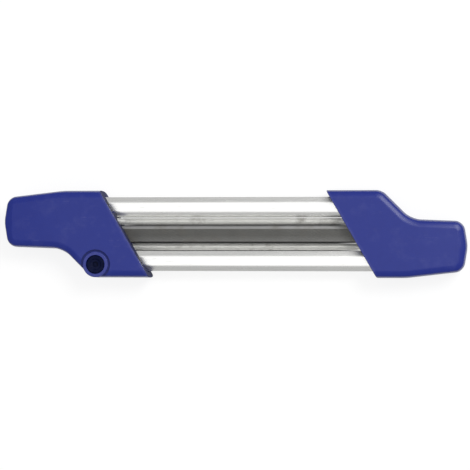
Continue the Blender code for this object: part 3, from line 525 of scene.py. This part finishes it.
def lock_wear_highlight_and_shade():
    """Masks of the lock's tower: its lighter ring, partly wear and partly painted highlight,
    and painted shade in the groove round it.
    """
    tree, given, result, place = effect("lock_wear_highlight_and_shade", {"Ring Width": 0.0022}, ("Ring", "Groove"))
    axis = (-LOCK_PLACE[0], -LOCK_PLACE[1], 0)
    flat = add(tree, "VectorMath", {0: place, 1: (1, 1, 0)}, operation="MULTIPLY").outputs[0]
    away = add(tree, "VectorMath", {0: flat, 1: axis}, operation="DISTANCE").outputs["Value"]
    height = add(tree, "SeparateXYZ", {"Vector": place}).outputs["Z"]
    above = combine(tree, height, TOP - 2 * GROOVE_DEPTH, "GREATER_THAN")
    noise = add(tree, "TexNoise", {"Vector": place, "Scale": 500.0, "Detail": 4}).outputs["Fac"]
    inner = combine(tree, TOWER_RADIUS, given["Ring Width"], "SUBTRACT")
    under_edge = combine(tree, away, TOWER_RADIUS, "LESS_THAN")
    ring = combine(tree, combine(tree, away, inner, "GREATER_THAN"), under_edge, "MULTIPLY")
    # The ring is lighter partly from wear and partly as a painted highlight.
    worn = combine(tree, ring, spread(tree, noise, 0.5, 1, 0.35, 0.6), "MULTIPLY")
    tree.links.new(combine(tree, worn, above, "MULTIPLY"), result["Ring"])
    # The groove round the tower is marked for painted shade.
    inside = combine(tree, away, GROOVE_RADIUS, "LESS_THAN")
    groove = combine(tree, combine(tree, away, TOWER_RADIUS, "GREATER_THAN"), inside, "MULTIPLY")
    tree.links.new(combine(tree, groove, above, "MULTIPLY"), result["Groove"])
    return tree


MOULDING = moulding()


def blue_plastic():
    made, tree, shader = surface("blue_plastic", roughness=0.4, specular=0.37)
    marks = use(tree, MOULDING)
    rims = use(tree, rim_wear_highlight_and_shade(), Wear_Reach=0.0026)
    lock = use(tree, lock_wear_highlight_and_shade())
    body = mixed(tree, marks["Mottle"], BLUE, BLUE_FLOW)
    scuffed = mixed(tree, spread(tree, marks["Scuffs"], 0, 0.12), body, BLUE_SCUFF_AND_HIGHLIGHT)
    scratched = mixed(tree, spread(tree, marks["Scratches"], 0, 0.5), scuffed, BLUE_SCUFF_AND_HIGHLIGHT)
    # Rims and the tower's ring turn lighter, partly from wear and partly as a painted highlight.
    worn = mixed(tree, spread(tree, rims["Wear"], 0, 0.4), scratched, BLUE_SCUFF_AND_HIGHLIGHT)
    ringed = mixed(tree, spread(tree, lock["Ring"], 0, 0.3), worn, BLUE_SCUFF_AND_HIGHLIGHT)
    # Painted shade in the groove round the tower.
    groove_shaded = mixed(tree, spread(tree, lock["Groove"], 0, 0.5), ringed, BLUE_PAINTED_SHADE)
    # Painted shade on the rim walls.
    rim_shaded = mixed(tree, spread(tree, rims["Painted Shade"], 0, 0.75), groove_shaded, BLUE_PAINTED_SHADE)
    dull = combine(tree, spread(tree, marks["Mottle"], 0.31, 0.40), spread(tree, rims["Wear"], 0, -0.03))
    bump = add(tree, "Bump", {"Height": marks["Grain"], "Strength": 0.35, "Distance": BLUE_GRAIN_HEIGHT})
    # Where shade is painted, the plastic is made rougher as well.
    painted_shade = combine(tree, rims["Painted Shade"], lock["Groove"], "MAXIMUM")
    rough = combine(tree, dull, spread(tree, painted_shade, 0, 0.45))
    feed(tree, shader, Base_Color=rim_shaded, Roughness=rough, Normal=bump.outputs[0])
    return made


BLUE_PLASTIC = blue_plastic()
for label in ("right", "left"):
    for half in ("upper", "lower"):
        housing = shell(f"{label}_{half}_housing", label, half == "upper")
        if half == "lower":
            add_screw_seats(housing)
        if (label, half) == ("left", "upper"):
            add_lock_tower(housing)
        if label == "left":
            housing.rotation_euler.z = math.pi
            settle(housing, housing.name)
        carve(housing, *mouth_tools(label))
        smooth(housing)
        paint(housing, BLUE_PLASTIC)
        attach(housing, "frame" if label == "right" else "left_handle")
        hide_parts(f"{label}_{half}_shell")

# Guide rails
# Drawn bright bars with a flat crown and a long bevel at each edge. Their outer end corners are cut, a pin
# fixes each in the right handle, and the front one is notched at its left end for the lock's cam.
STOCK_REACH = 0.15
RAIL_BEVEL_WIDTH = 0.004125
RAIL_BEVEL_DROP = 0.00126
RAIL_CROWN_ROUND = 0.0009
RAIL_EDGE_ROUND = 0.0003
RAIL_LONG = 0.118
RAIL_SHORT = 0.105
RAIL_CORNER_CUT = 0.0025
PIN_DISTANCE = 0.0081
PIN_HOLE_RADIUS = 0.0018
CAM_REACH = 0.0034
CAM_SPARE = 0.0005
DRAWN_LINE_STRETCH = (0.012, 1, 1)
DRAWN_BAND_STRETCH = (0.004, 0.12, 0.12)
NICK_TURN = 1.1
NICK_STRETCH = (90, 2600, 300)
RAIL_LINE_HEIGHT = 0.00004
RAIL_DULL = (0.80, 0.80, 0.79)
RAIL_BRIGHT = (0.90, 0.90, 0.88)
RAIL_NICK = (0.5, 0.5, 0.49)


def drawing():
    """Long drawn lines along X, fine and broad ones, and short scratches across them."""
    tree, given, result, place = effect("drawing", {"Line Size": 0.0004}, ("Lines", "Bands", "Nicks"))
    scale = combine(tree, 1.0, given["Line Size"], "DIVIDE")
    for title, stretch in (("Lines", DRAWN_LINE_STRETCH), ("Bands", DRAWN_BAND_STRETCH)):
        along = add(tree, "Mapping", {"Vector": place, "Scale": stretch})
        noise = add(tree, "TexNoise", {"Vector": along.outputs[0], "Scale": scale, "Detail": 3})
        tree.links.new(noise.outputs["Fac"], result[title])
    turned = add(tree, "Mapping", {"Vector": place, "Rotation": (0, 0, NICK_TURN), "Scale": NICK_STRETCH})
    streaks = add(tree, "TexNoise", {"Vector": turned.outputs[0], "Scale": 1.0, "Detail": 1})
    tree.links.new(spread(tree, streaks.outputs["Fac"], 0, 1, 0.7, 0.78), result["Nicks"])
    return tree


DRAWING = drawing()


def bright_metal():
    made, tree, shader = surface("rail_metal", roughness=0.28, metallic=1.0)
    lines = use(tree, DRAWING)
    colour = mixed(tree, lines["Bands"], RAIL_DULL, RAIL_BRIGHT)
    dulled = mixed(tree, spread(tree, lines["Nicks"], 0, 0.5), colour, RAIL_NICK)
    rough = combine(tree, spread(tree, lines["Lines"], 0.2, 0.34), spread(tree, lines["Nicks"], 0, 0.2))
    bump = add(tree, "Bump", {"Height": lines["Lines"], "Strength": 0.25, "Distance": RAIL_LINE_HEIGHT})
    feed(tree, shader, Base_Color=dulled, Roughness=rough, Normal=bump.outputs[0])
    return made


RAIL_METAL = bright_metal()


def runs_along(points):
    """Whether an edge runs along X."""
    return points[0].x != points[1].x


def rail_bar(name, side):
    """A long bar with a bevel along each edge, cut at 45 degrees on a tall bar that is then pressed flat."""
    stretch = RAIL_BEVEL_WIDTH / RAIL_BEVEL_DROP
    width, thickness = RAIL_SECTION
    bar = cube(name, (0, side * RAIL_SIDE, MIDDLE), (2 * STOCK_REACH, width, thickness * stretch))
    edit(bar)
    pick("EDGE", lambda point: True, runs_along)
    bpy.ops.mesh.bevel(offset=RAIL_BEVEL_WIDTH, segments=1, affect="EDGES")
    bpy.ops.mesh.select_all(action="SELECT")
    bpy.ops.transform.resize(value=(1, 1, 1 / stretch), center_override=(0, 0, MIDDLE))
    crown = thickness / 2
    for height, offset in ((crown, RAIL_CROWN_ROUND), (crown - RAIL_BEVEL_DROP, RAIL_EDGE_ROUND)):
        pick("EDGE", lambda point: abs(abs(point.z - MIDDLE) - height) < TINY, runs_along)
        bpy.ops.mesh.bevel(offset=offset, segments=3, affect="EDGES")
    leave()
    return bar


def rail(name, node, side, start, end):
    """A bar cut to length, with its outer corners off, its pin hole and, in front, the notch for the cam."""
    piece = rail_bar(name, side)
    outer = side * (RAIL_SIDE + RAIL_SECTION[0] / 2)
    trim(piece, (end, 0, 0), (1, 0, 0))
    trim(piece, (start, 0, 0), (-1, 0, 0))
    trim(piece, (end - RAIL_CORNER_CUT, outer, 0), (1, side, 0))
    trim(piece, (start + RAIL_CORNER_CUT, outer, 0), (-1, side, 0))
    pin = (end - PIN_DISTANCE, side * RAIL_SIDE)
    carve(piece, cylinder("pin_hole", pin, PIN_HOLE_RADIUS, 0, TOP))
    if side < 0:
        low = (start - PAST, outer - PAST)
        high = (CAM_REACH + CAM_SPARE - LOCK_PLACE[0], CAM_REACH - LOCK_PLACE[1])
        middle = [(a + b) / 2 for a, b in zip(low, high)]
        size = [b - a for a, b in zip(low, high)]
        carve(piece, cube("notch", (*middle, MIDDLE), (*size, MIDDLE)))
    smooth(piece)
    paint(piece, RAIL_METAL)
    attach(piece, "frame")
    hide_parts(node)


rail("back_guide_rail", "back_rail", 1, -RAIL_LONG, RAIL_SHORT)
rail("front_guide_rail", "front_rail", -1, -RAIL_SHORT, RAIL_LONG)

# Files
# Two round files of hardened steel with spiral teeth and plain tips, and between them a darker flat file
# with slanted rows of teeth, ground to a bevel where a round one stands proud beside it. All three lie loose
# in the file holders' pockets.
FILE_START = -0.0965
FILE_END = 0.1035
TIP_RADIUS = 0.0022
TIP_LENGTH = 0.009
TIP_CHAMFER = 0.0006
CORE_RADIUS = 0.00222
TOOTH_SINK = 0.0001
TOOTH_LEAN_SHARE = 0.2
TOOTH_PITCH = 0.0008
TOOTH_STARTS = 10
TOOTH_STEPS = 24
FLAT_TOOTH_PITCH = 0.0009
FLAT_TOOTH_HEIGHT = 0.00018
FLAT_TOOTH_ANGLE = math.radians(25)
RELIEF_WIDTH = 0.0028
RELIEF_DEPTH = 0.0012
FLAT_EDGE_ROUND = 0.0009
SAME_WAY = 0.999
EDGE_FACE_LEAN = 0.3
FILE_GRAIN_HEIGHT = 0.00005
FILINGS = (0.22, 0.205, 0.18)
ROUND_BRIGHT = (0.83, 0.83, 0.80)
ROUND_DULL = (0.69, 0.69, 0.66)
GROUND_BRIGHT = (0.32, 0.32, 0.32)
GROUND_DULL = (0.25, 0.25, 0.25)
# Near-black steel, painted as shade on the flat file's faces that lean sideways.
SHADED_STEEL_BRIGHT = (0.045, 0.045, 0.043)
SHADED_STEEL_DULL = (0.025, 0.025, 0.024)
FLAT_BRIGHT = (0.225, 0.225, 0.215)
FLAT_DULL = (0.165, 0.165, 0.155)
# Lighter steel towards one long edge of each broad face of the flat file.
FLAT_EDGE_BRIGHT = (0.31, 0.31, 0.30)


def merge(piece, *others):
    alone(piece)
    for other in others:
        other.select_set(True)
    bpy.ops.object.join()


def edge_brightening():
    """A mask that rises towards the long edge of each broad face of the flat file away from its ground bevel.
    """
    tree, given, result, place = effect("edge_brightening", {"Start": 0.001, "End": 0.0055}, ("Brightening",))
    axes = add(tree, "SeparateXYZ", {"Vector": place}).outputs
    side = combine(tree, combine(tree, axes["Z"], MIDDLE, "SUBTRACT"), FLAT_FILE_SECTION[1] / -2, "DIVIDE")
    way = combine(tree, side, axes["Y"], "MULTIPLY")
    tree.links.new(spread(tree, way, 0, 1, given["Start"], given["End"]), result["Brightening"])
    return tree


def file_steel(name, bright, dull, smoothest, edge_bright=None):
    """Hardened steel in brighter and duller clouds, with filings and grease in patches."""
    made, tree, shader = surface(name, roughness=smoothest, metallic=1.0)
    marks = use(tree, MOULDING, Mottle_Size=0.012, Grain_Size=0.00035)
    body = mixed(tree, marks["Mottle"], dull, bright)
    if edge_bright:
        body = mixed(tree, use(tree, edge_brightening())["Brightening"], body, edge_bright)
    dusty = mixed(tree, spread(tree, marks["Scuffs"], 0, 0.5), body, FILINGS)
    grain = spread(tree, marks["Grain"], smoothest, smoothest + 0.15)
    rough = combine(tree, grain, spread(tree, marks["Scuffs"], 0, 0.15))
    bump = add(tree, "Bump", {"Height": marks["Grain"], "Strength": 0.4, "Distance": FILE_GRAIN_HEIGHT})
    feed(tree, shader, Base_Color=dusty, Roughness=rough, Normal=bump.outputs[0])
    return made


ROUND_FILE_STEEL = file_steel("round_file_steel", ROUND_BRIGHT, ROUND_DULL, smoothest=0.46)
GROUND_STEEL = file_steel("ground_steel", GROUND_BRIGHT, GROUND_DULL, smoothest=0.42)
SHADED_STEEL = file_steel("shaded_steel", SHADED_STEEL_BRIGHT, SHADED_STEEL_DULL, smoothest=0.5)
FLAT_FILE_STEEL = file_steel("flat_file_steel", FLAT_BRIGHT, FLAT_DULL, smoothest=0.42, edge_bright=FLAT_EDGE_BRIGHT)


def tooth_line(name, pitch, teeth, low, high):
    """A zigzag along X from nought, with its crests at one height and its gullets at another."""
    bpy.ops.object.select_all(action="DESELECT")
    bpy.ops.mesh.primitive_plane_add(size=pitch, location=(pitch / 2, pitch / 2, high))
    line = settle(bpy.context.object, name)
    edit(line)
    bpy.ops.mesh.select_all(action="SELECT")
    bpy.ops.mesh.delete(type="ONLY_FACE")
    pick("VERT", lambda point: point.y > pitch / 2)
    bpy.ops.mesh.delete(type="VERT")
    bpy.ops.mesh.select_mode(type="EDGE")
    bpy.ops.mesh.select_all(action="SELECT")
    bpy.ops.mesh.subdivide(number_cuts=1)
    pick("VERT", near(pitch / 2, 0))
    bpy.ops.transform.translate(value=(-TOOTH_LEAN_SHARE * pitch, 0, low - high))
    leave()
    apply(
        line, "ARRAY", count=teeth, use_relative_offset=False, use_constant_offset=True,
        constant_offset_displace=(pitch, 0, 0), use_merge_vertices=True, merge_threshold=TINY,
    )
    return line


def round_file(name, node, sign, body):
    """A core with plain tips, and over it a thread of many starts whose profile has one point per tooth."""
    side, height = sign * ROUND_FILE_PLACE[0], MIDDLE + sign * ROUND_FILE_PLACE[1]
    core = lengthwise(name, side, height, TIP_RADIUS, 2 * STOCK_REACH)
    for end in (FILE_START, FILE_END):
        edit(core)
        way = math.copysign(1, end)
        pick("VERT", lambda point: point.x * way > 0)
        bpy.ops.transform.translate(value=(end - way * STOCK_REACH, 0, 0))
        pick("EDGE", lambda point: abs(point.x - end) < TINY)
        bpy.ops.mesh.bevel(offset=TIP_CHAMFER, segments=3, affect="EDGES")
        leave()
    smooth(core)
    cut_start = FILE_START + TIP_LENGTH
    cut_end = FILE_END - TIP_LENGTH
    lead = TOOTH_PITCH * TOOTH_STARTS
    thread = tooth_line("teeth", TOOTH_PITCH, TOOTH_STARTS, CORE_RADIUS - TOOTH_SINK, ROUND_FILE_RADIUS)
    apply(
        thread, "SCREW", axis="X", steps=TOOTH_STEPS, render_steps=TOOTH_STEPS, screw_offset=lead,
        iterations=math.floor((cut_end - cut_start) / lead), use_merge_vertices=True, merge_threshold=TINY,
        use_smooth_shade=False,
    )
    edit(thread)
    bpy.ops.mesh.select_all(action="SELECT")
    bpy.ops.mesh.remove_doubles(threshold=TINY)
    bpy.ops.mesh.normals_make_consistent(inside=False)
    bpy.ops.transform.translate(value=(cut_start, side, height))
    leave()
    merge(core, thread)
    paint(core, ROUND_FILE_STEEL)
    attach(core, body)
    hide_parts(node)


def flat_file(name, node):
    """A bar whose two broad faces carry slanted rows of teeth."""
    width, thickness = FLAT_FILE_SECTION
    length = 2 * STOCK_REACH
    piece = cube(name, (0, 0, MIDDLE), (length, width, thickness - 2 * FLAT_TOOTH_HEIGHT))
    trim(piece, (FILE_END, 0, 0), (1, 0, 0))
    trim(piece, (FILE_START, 0, 0), (-1, 0, 0))
    edit(piece)
    pick("EDGE", lambda point: (point.y > 0) != (point.z > MIDDLE), runs_along)
    bpy.ops.mesh.bevel(offset=FLAT_EDGE_ROUND, segments=2, affect="EDGES")
    leave()
    for sign in (1, -1):
        place = (0, sign * width / 2, MIDDLE + sign * (thickness / 2 - RELIEF_DEPTH))
        trim(piece, place, (0, sign * RELIEF_DEPTH, sign * RELIEF_WIDTH))
    smooth(piece)
    across = width - RELIEF_WIDTH - FLAT_EDGE_ROUND
    slant = across * math.tan(FLAT_TOOTH_ANGLE)
    crest = MIDDLE + thickness / 2
    gullet = crest - FLAT_TOOTH_HEIGHT - TOOTH_SINK
    for sign in (1, -1):
        rows = tooth_line("flat_teeth", FLAT_TOOTH_PITCH, round(length / FLAT_TOOTH_PITCH), gullet, crest)
        edit(rows)
        bpy.ops.mesh.select_all(action="SELECT")
        bpy.ops.transform.translate(value=(-length / 2, FLAT_EDGE_ROUND - width / 2, 0))
        bpy.ops.mesh.extrude_edges_move(TRANSFORM_OT_translate={"value": (slant, across, 0)})
        bpy.ops.mesh.select_all(action="SELECT")
        if sign < 0:
            bpy.ops.transform.rotate(value=math.pi, orient_axis="X", center_override=(0, 0, MIDDLE))
        leave()
        for end, way in ((FILE_START + TIP_LENGTH, -1), (FILE_END - TIP_LENGTH, 1)):
            edit(rows)
            bpy.ops.mesh.select_all(action="SELECT")
            bpy.ops.mesh.bisect(plane_co=(end, 0, 0), plane_no=(way, 0, 0), clear_outer=True, threshold=TINY)
            leave()
        merge(piece, rows)
    paint(piece, FLAT_FILE_STEEL)
    piece.data.materials.append(GROUND_STEEL)
    piece.data.materials.append(SHADED_STEEL)
    # Faces that lean sideways, the file's long sides, their rounded edges and the steep flank of each tooth,
    # take the near-black steel as painted shade.
    bevel = Vector((0, RELIEF_DEPTH, RELIEF_WIDTH)).normalized()
    for face in piece.data.polygons:
        if abs(face.normal.dot(bevel)) > SAME_WAY:
            face.material_index = 1
        elif abs(face.normal.y) > EDGE_FACE_LEAN:
            face.material_index = 2
    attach(piece, "frame")
    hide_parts(node)


round_file("back_toothed_file", "back_round_file", 1, "back_file")
round_file("front_toothed_file", "front_round_file", -1, "front_file")
flat_file("flat_depth_file", "flat_file")

# Lock
# A black quarter-turn knob of hard plastic, with a shallow dish and a hexagonal socket, sits in the left
# handle's tower. Its stem turns a steel eccentric that clamps the end of the front rail.
KNOB_RADIUS = 0.0066
KNOB_TOP = 0.0278
KNOB_THICKNESS = 0.0024
KNOB_EDGE_ROUND = 0.0007
DISH_RADIUS = 0.0042
DISH_DEPTH = 0.0005
SOCKET_WIDTH = 0.004
SOCKET_DEPTH = 0.0018
STEM_RADIUS = 0.003
STEM_END = 0.0166
STEM_BORE_RADIUS = 0.0014
STEM_BORE_TOP = 0.0226
BLACK = (0.0012, 0.003, 0.022)
BLACK_FLOW = (0.003, 0.006, 0.034)
BLACK_SCUFF = (0.030, 0.032, 0.065)
BLACK_GRAIN_HEIGHT = 0.00006


def hexagon(name, place, width, low, high):
    return cylinder(name, place, width / 2 / math.cos(math.pi / 6), low, high, 6)


def black_plastic():
    made, tree, shader = surface("black_plastic", roughness=0.4, specular=0.05)
    marks = use(tree, MOULDING, Mottle_Size=0.002, Grain_Size=0.00025)
    body = mixed(tree, marks["Mottle"], BLACK, BLACK_FLOW)
    scuffed = mixed(tree, spread(tree, marks["Scuffs"], 0, 0.25), body, BLACK_SCUFF)
    scratched = mixed(tree, spread(tree, marks["Scratches"], 0, 0.6), scuffed, BLACK_SCUFF)
    bump = add(tree, "Bump", {"Height": marks["Grain"], "Strength": 0.3, "Distance": BLACK_GRAIN_HEIGHT})
    rough = spread(tree, marks["Mottle"], 0.32, 0.48)
    feed(tree, shader, Base_Color=scratched, Roughness=rough, Normal=bump.outputs[0])
    return made


def lock_knob():
    """The knob with its dish, socket and rounded edge, and below it the stem with the bore for its screw."""
    place = (-LOCK_PLACE[0], -LOCK_PLACE[1])
    under = KNOB_TOP - KNOB_THICKNESS
    knob = cylinder("quarter_turn_knob", place, KNOB_RADIUS, under, KNOB_TOP, LOCK_SIDES)
    edit(knob)
    pick("FACE", lambda point: point.z > KNOB_TOP - TINY)
    bpy.ops.mesh.inset(thickness=KNOB_RADIUS - DISH_RADIUS)
    bpy.ops.mesh.inset(thickness=DISH_DEPTH, depth=-DISH_DEPTH)

    def on_rim(point):
        return point.z > KNOB_TOP - TINY and (point.to_2d() - Vector(place)).length > KNOB_RADIUS - PAST

    pick("EDGE", on_rim)
    bpy.ops.mesh.bevel(offset=KNOB_EDGE_ROUND, segments=4, affect="EDGES")
    leave()
    carve(knob, cylinder("stem", place, STEM_RADIUS, STEM_END, under + DISH_DEPTH), operation="UNION")
    floor = KNOB_TOP - DISH_DEPTH - SOCKET_DEPTH
    carve(
        knob,
        hexagon("socket", place, SOCKET_WIDTH, floor, KNOB_TOP + PAST),
        cylinder("stem_bore", place, STEM_BORE_RADIUS, STEM_END - PAST, STEM_BORE_TOP),
    )
    smooth(knob)
    paint(knob, black_plastic())
    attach(knob, "lock")
    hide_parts("lock_knob")


lock_knob()

# Screws, pins and lock hardware
# Six small zinc-plated screws close the handles from below, each with a domed head and a hexagonal socket.
# The rail pins, the lock's eccentric and its screw and washer are plated alike, and are pressed or dropped in
# before the shells close.
SCREW_HEAD_RADIUS = 0.0027
SCREW_HEAD_HEIGHT = 0.0018
SCREW_SHANK_RADIUS = 0.0014
SCREW_TOP_OF_HEAD = 0.0042
SCREW_LENGTH = 0.0158
SCREW_SOCKET_WIDTH = 0.0019
SCREW_SOCKET_DEPTH = 0.0009
ZINC_BLUE = (0.60, 0.60, 0.61)
ZINC_YELLOW = (0.68, 0.66, 0.58)
ZINC_DULL = (0.42, 0.42, 0.41)
ZINC_GRAIN_HEIGHT = 0.00003


def zinc():
    """Bright plating with cloudy patches and a faint yellow cast, dulled where it is scuffed."""
    made, tree, shader = surface("zinc_plate", roughness=0.35, metallic=1.0)
    marks = use(tree, MOULDING, Mottle_Size=0.0015, Grain_Size=0.0002)
    body = mixed(tree, marks["Mottle"], ZINC_BLUE, ZINC_YELLOW)
    dull = mixed(tree, spread(tree, marks["Scuffs"], 0, 0.5), body, ZINC_DULL)
    rough = spread(tree, marks["Mottle"], 0.26, 0.46)
    bump = add(tree, "Bump", {"Height": marks["Grain"], "Strength": 0.3, "Distance": ZINC_GRAIN_HEIGHT})
    feed(tree, shader, Base_Color=dull, Roughness=rough, Normal=bump.outputs[0])
    return made


ZINC = zinc()


def screw(name, node, place, body):
    """A domed head with a socket, and a shank that rises from it."""
    low = SCREW_TOP_OF_HEAD - SCREW_HEAD_HEIGHT
    piece = cylinder(name, place, SCREW_HEAD_RADIUS, low, SCREW_TOP_OF_HEAD)
    edit(piece)
    pick("EDGE", lambda point: point.z < low + TINY)
    bpy.ops.mesh.bevel(offset=SCREW_HEAD_HEIGHT / 2, segments=4, affect="EDGES")
    pick("FACE", lambda point: point.z > SCREW_TOP_OF_HEAD - TINY)
    bpy.ops.mesh.inset(thickness=SCREW_HEAD_RADIUS - SCREW_SHANK_RADIUS)
    bpy.ops.mesh.extrude_region_move(TRANSFORM_OT_translate={"value": (0, 0, SCREW_LENGTH)})
    leave()
    carve(piece, hexagon("socket", place, SCREW_SOCKET_WIDTH, low - PAST, low + SCREW_SOCKET_DEPTH))
    smooth(piece)
    paint(piece, ZINC)
    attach(piece, body)
    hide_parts(node)


for label, turn, body in (("right", 1, "frame"), ("left", -1, "left_handle")):
    for title, (x, y) in SCREW_PLACES.items():
        screw(f"{label}_{title}_fastener", f"{label}_{title}_screw", (turn * x, turn * y), body)

for node in ("back_rail_pin", "front_rail_pin", "lock_cam", "lock_screw", "lock_washer"):
    paint(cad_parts[node], ZINC)

# File holders
# Black moulded blocks of glass-filled plastic inside the handles, with pockets that the ends of the rails
# and files sit in. They are clamped between the two shells of each handle.
HOLDER = (0.012, 0.012, 0.014)
HOLDER_FLOW = (0.020, 0.020, 0.022)
HOLDER_SCUFF = (0.06, 0.06, 0.06)
HOLDER_GRAIN_HEIGHT = 0.00008


def holder_plastic():
    made, tree, shader = surface("holder_plastic", roughness=0.6, specular=0.3)
    marks = use(tree, MOULDING, Mottle_Size=0.004, Grain_Size=0.0004)
    body = mixed(tree, marks["Mottle"], HOLDER, HOLDER_FLOW)
    scuffed = mixed(tree, spread(tree, marks["Scuffs"], 0, 0.3), body, HOLDER_SCUFF)
    bump = add(tree, "Bump", {"Height": marks["Grain"], "Strength": 0.4, "Distance": HOLDER_GRAIN_HEIGHT})
    rough = spread(tree, marks["Mottle"], 0.5, 0.7)
    feed(tree, shader, Base_Color=scuffed, Roughness=rough, Normal=bump.outputs[0])
    return made


HOLDER_PLASTIC = holder_plastic()
for node in ("left_file_holder", "right_file_holder"):
    paint(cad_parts[node], HOLDER_PLASTIC)

# Studio
# A pale floor, a soft sky that is brightest overhead and dim near the horizon, and one lamp from the upper
# right of the picture. The camera looks down from a little to the right handle's side.
VIEW_TILT = math.radians(6.5)
VIEW_DISTANCE = 1.5
VIEW_AIM = (0.0007, -0.0007, MIDDLE)
LENS = 156.8
FLOOR_SIZE = 6.0
FLOOR_PAPER = 0.2
FLOOR_LIFT = 0.83
SHADE_MIDDLE = (0, -0.0025)
SHADE_REACH = (0.075, 0.01)
SHADE_FADE = (0.025, 0.0035)
LAMP_DISTANCE = 2.4
LAMP_SIZE = 0.9
LAMP_AZIMUTH = math.radians(42)
LAMP_ELEVATION = math.radians(54)
LAMP_POWER = 29.0
SKY_CAP = 1.35
SKY_SIDE = 0.50
SKY_HORIZON = 0.4
SKY_SIDE_HEIGHT = 0.5
SKY_CAP_HEIGHTS = (0.90, 0.97)


def floor():
    """Paper that is lifted to white for the camera and for reflections, but not under the files,
    where the paper is left unlifted as painted shade, and the files' own shadow shows on it.
    """
    bpy.ops.object.select_all(action="DESELECT")
    bpy.ops.mesh.primitive_plane_add(size=FLOOR_SIZE, location=(0, 0, 0))
    made = settle(bpy.context.object, "floor")
    paper, tree, shader = surface("floor_paper", roughness=0.9, specular=0.0)
    shader["Base Color"].default_value = (FLOOR_PAPER, FLOOR_PAPER, FLOOR_PAPER, 1)
    shader["Emission Color"].default_value = (1, 1, 1, 1)
    seen = add(tree, "LightPath", {}).outputs
    either = combine(tree, seen["Is Camera Ray"], seen["Is Glossy Ray"], "MAXIMUM")
    any_ray = combine(tree, either, seen["Is Transmission Ray"], "MAXIMUM")
    axes = add(tree, "SeparateXYZ", {"Vector": add(tree, "TexCoord", {}).outputs["Object"]}).outputs
    open_floor = 0.0
    for axis, middle, reach, fade in zip("XY", SHADE_MIDDLE, SHADE_REACH, SHADE_FADE):
        off = combine(tree, axes[axis], middle, "SUBTRACT")
        far = add(tree, "Math", {0: off}, operation="ABSOLUTE").outputs[0]
        open_floor = combine(tree, open_floor, spread(tree, far, 0, 1, reach, reach + fade), "MAXIMUM")
    lift = combine(tree, open_floor, FLOOR_LIFT, "MULTIPLY")
    feed(tree, shader, Emission_Strength=combine(tree, any_ray, lift, "MULTIPLY"))
    paint(made, paper)


def sky():
    """Dim at the horizon and brightest overhead, and plain white for the camera."""
    world = bpy.data.worlds.new("studio_sky")
    bpy.context.scene.world = world
    world.use_nodes = True
    tree = world.node_tree
    tree.nodes.clear()
    way = add(tree, "TexCoord", {}).outputs["Generated"]
    up = add(tree, "SeparateXYZ", {"Vector": way}).outputs["Z"]
    side = spread(tree, up, SKY_HORIZON, SKY_SIDE, 0.0, SKY_SIDE_HEIGHT)
    cap = spread(tree, up, 0, SKY_CAP - SKY_SIDE, *SKY_CAP_HEIGHTS)
    light = add(tree, "Background", {"Color": (1, 1, 1, 1), "Strength": combine(tree, side, cap)})
    white = add(tree, "Background", {"Color": (1, 1, 1, 1), "Strength": 1.0})
    seen = add(tree, "LightPath", {}).outputs["Is Camera Ray"]
    either = add(tree, "MixShader", {0: seen, 1: light.outputs[0], 2: white.outputs[0]})
    add(tree, "OutputWorld", {"Surface": either.outputs[0]})


def lamp():
    level = math.cos(LAMP_ELEVATION)
    way = Vector((math.cos(LAMP_AZIMUTH) * level, math.sin(LAMP_AZIMUTH) * level, math.sin(LAMP_ELEVATION)))
    data = bpy.data.lights.new("key_lamp", "AREA")
    data.energy = LAMP_POWER
    data.size = LAMP_SIZE
    made = bpy.data.objects.new("key_lamp", data)
    made.location = Vector(VIEW_AIM) + way * LAMP_DISTANCE
    made.rotation_euler = way.to_track_quat("Z", "Y").to_euler()
    bpy.context.scene.collection.objects.link(made)


def camera():
    data = bpy.data.cameras.new("camera")
    data.lens = LENS
    made = bpy.data.objects.new("camera", data)
    way = Vector((math.sin(VIEW_TILT), 0, math.cos(VIEW_TILT)))
    made.location = Vector(VIEW_AIM) + way * VIEW_DISTANCE
    made.rotation_euler = (0, VIEW_TILT, 0)
    bpy.context.scene.collection.objects.link(made)
    bpy.context.scene.camera = made


floor()
sky()
lamp()
camera()
bpy.context.scene.view_settings.view_transform = "Standard"
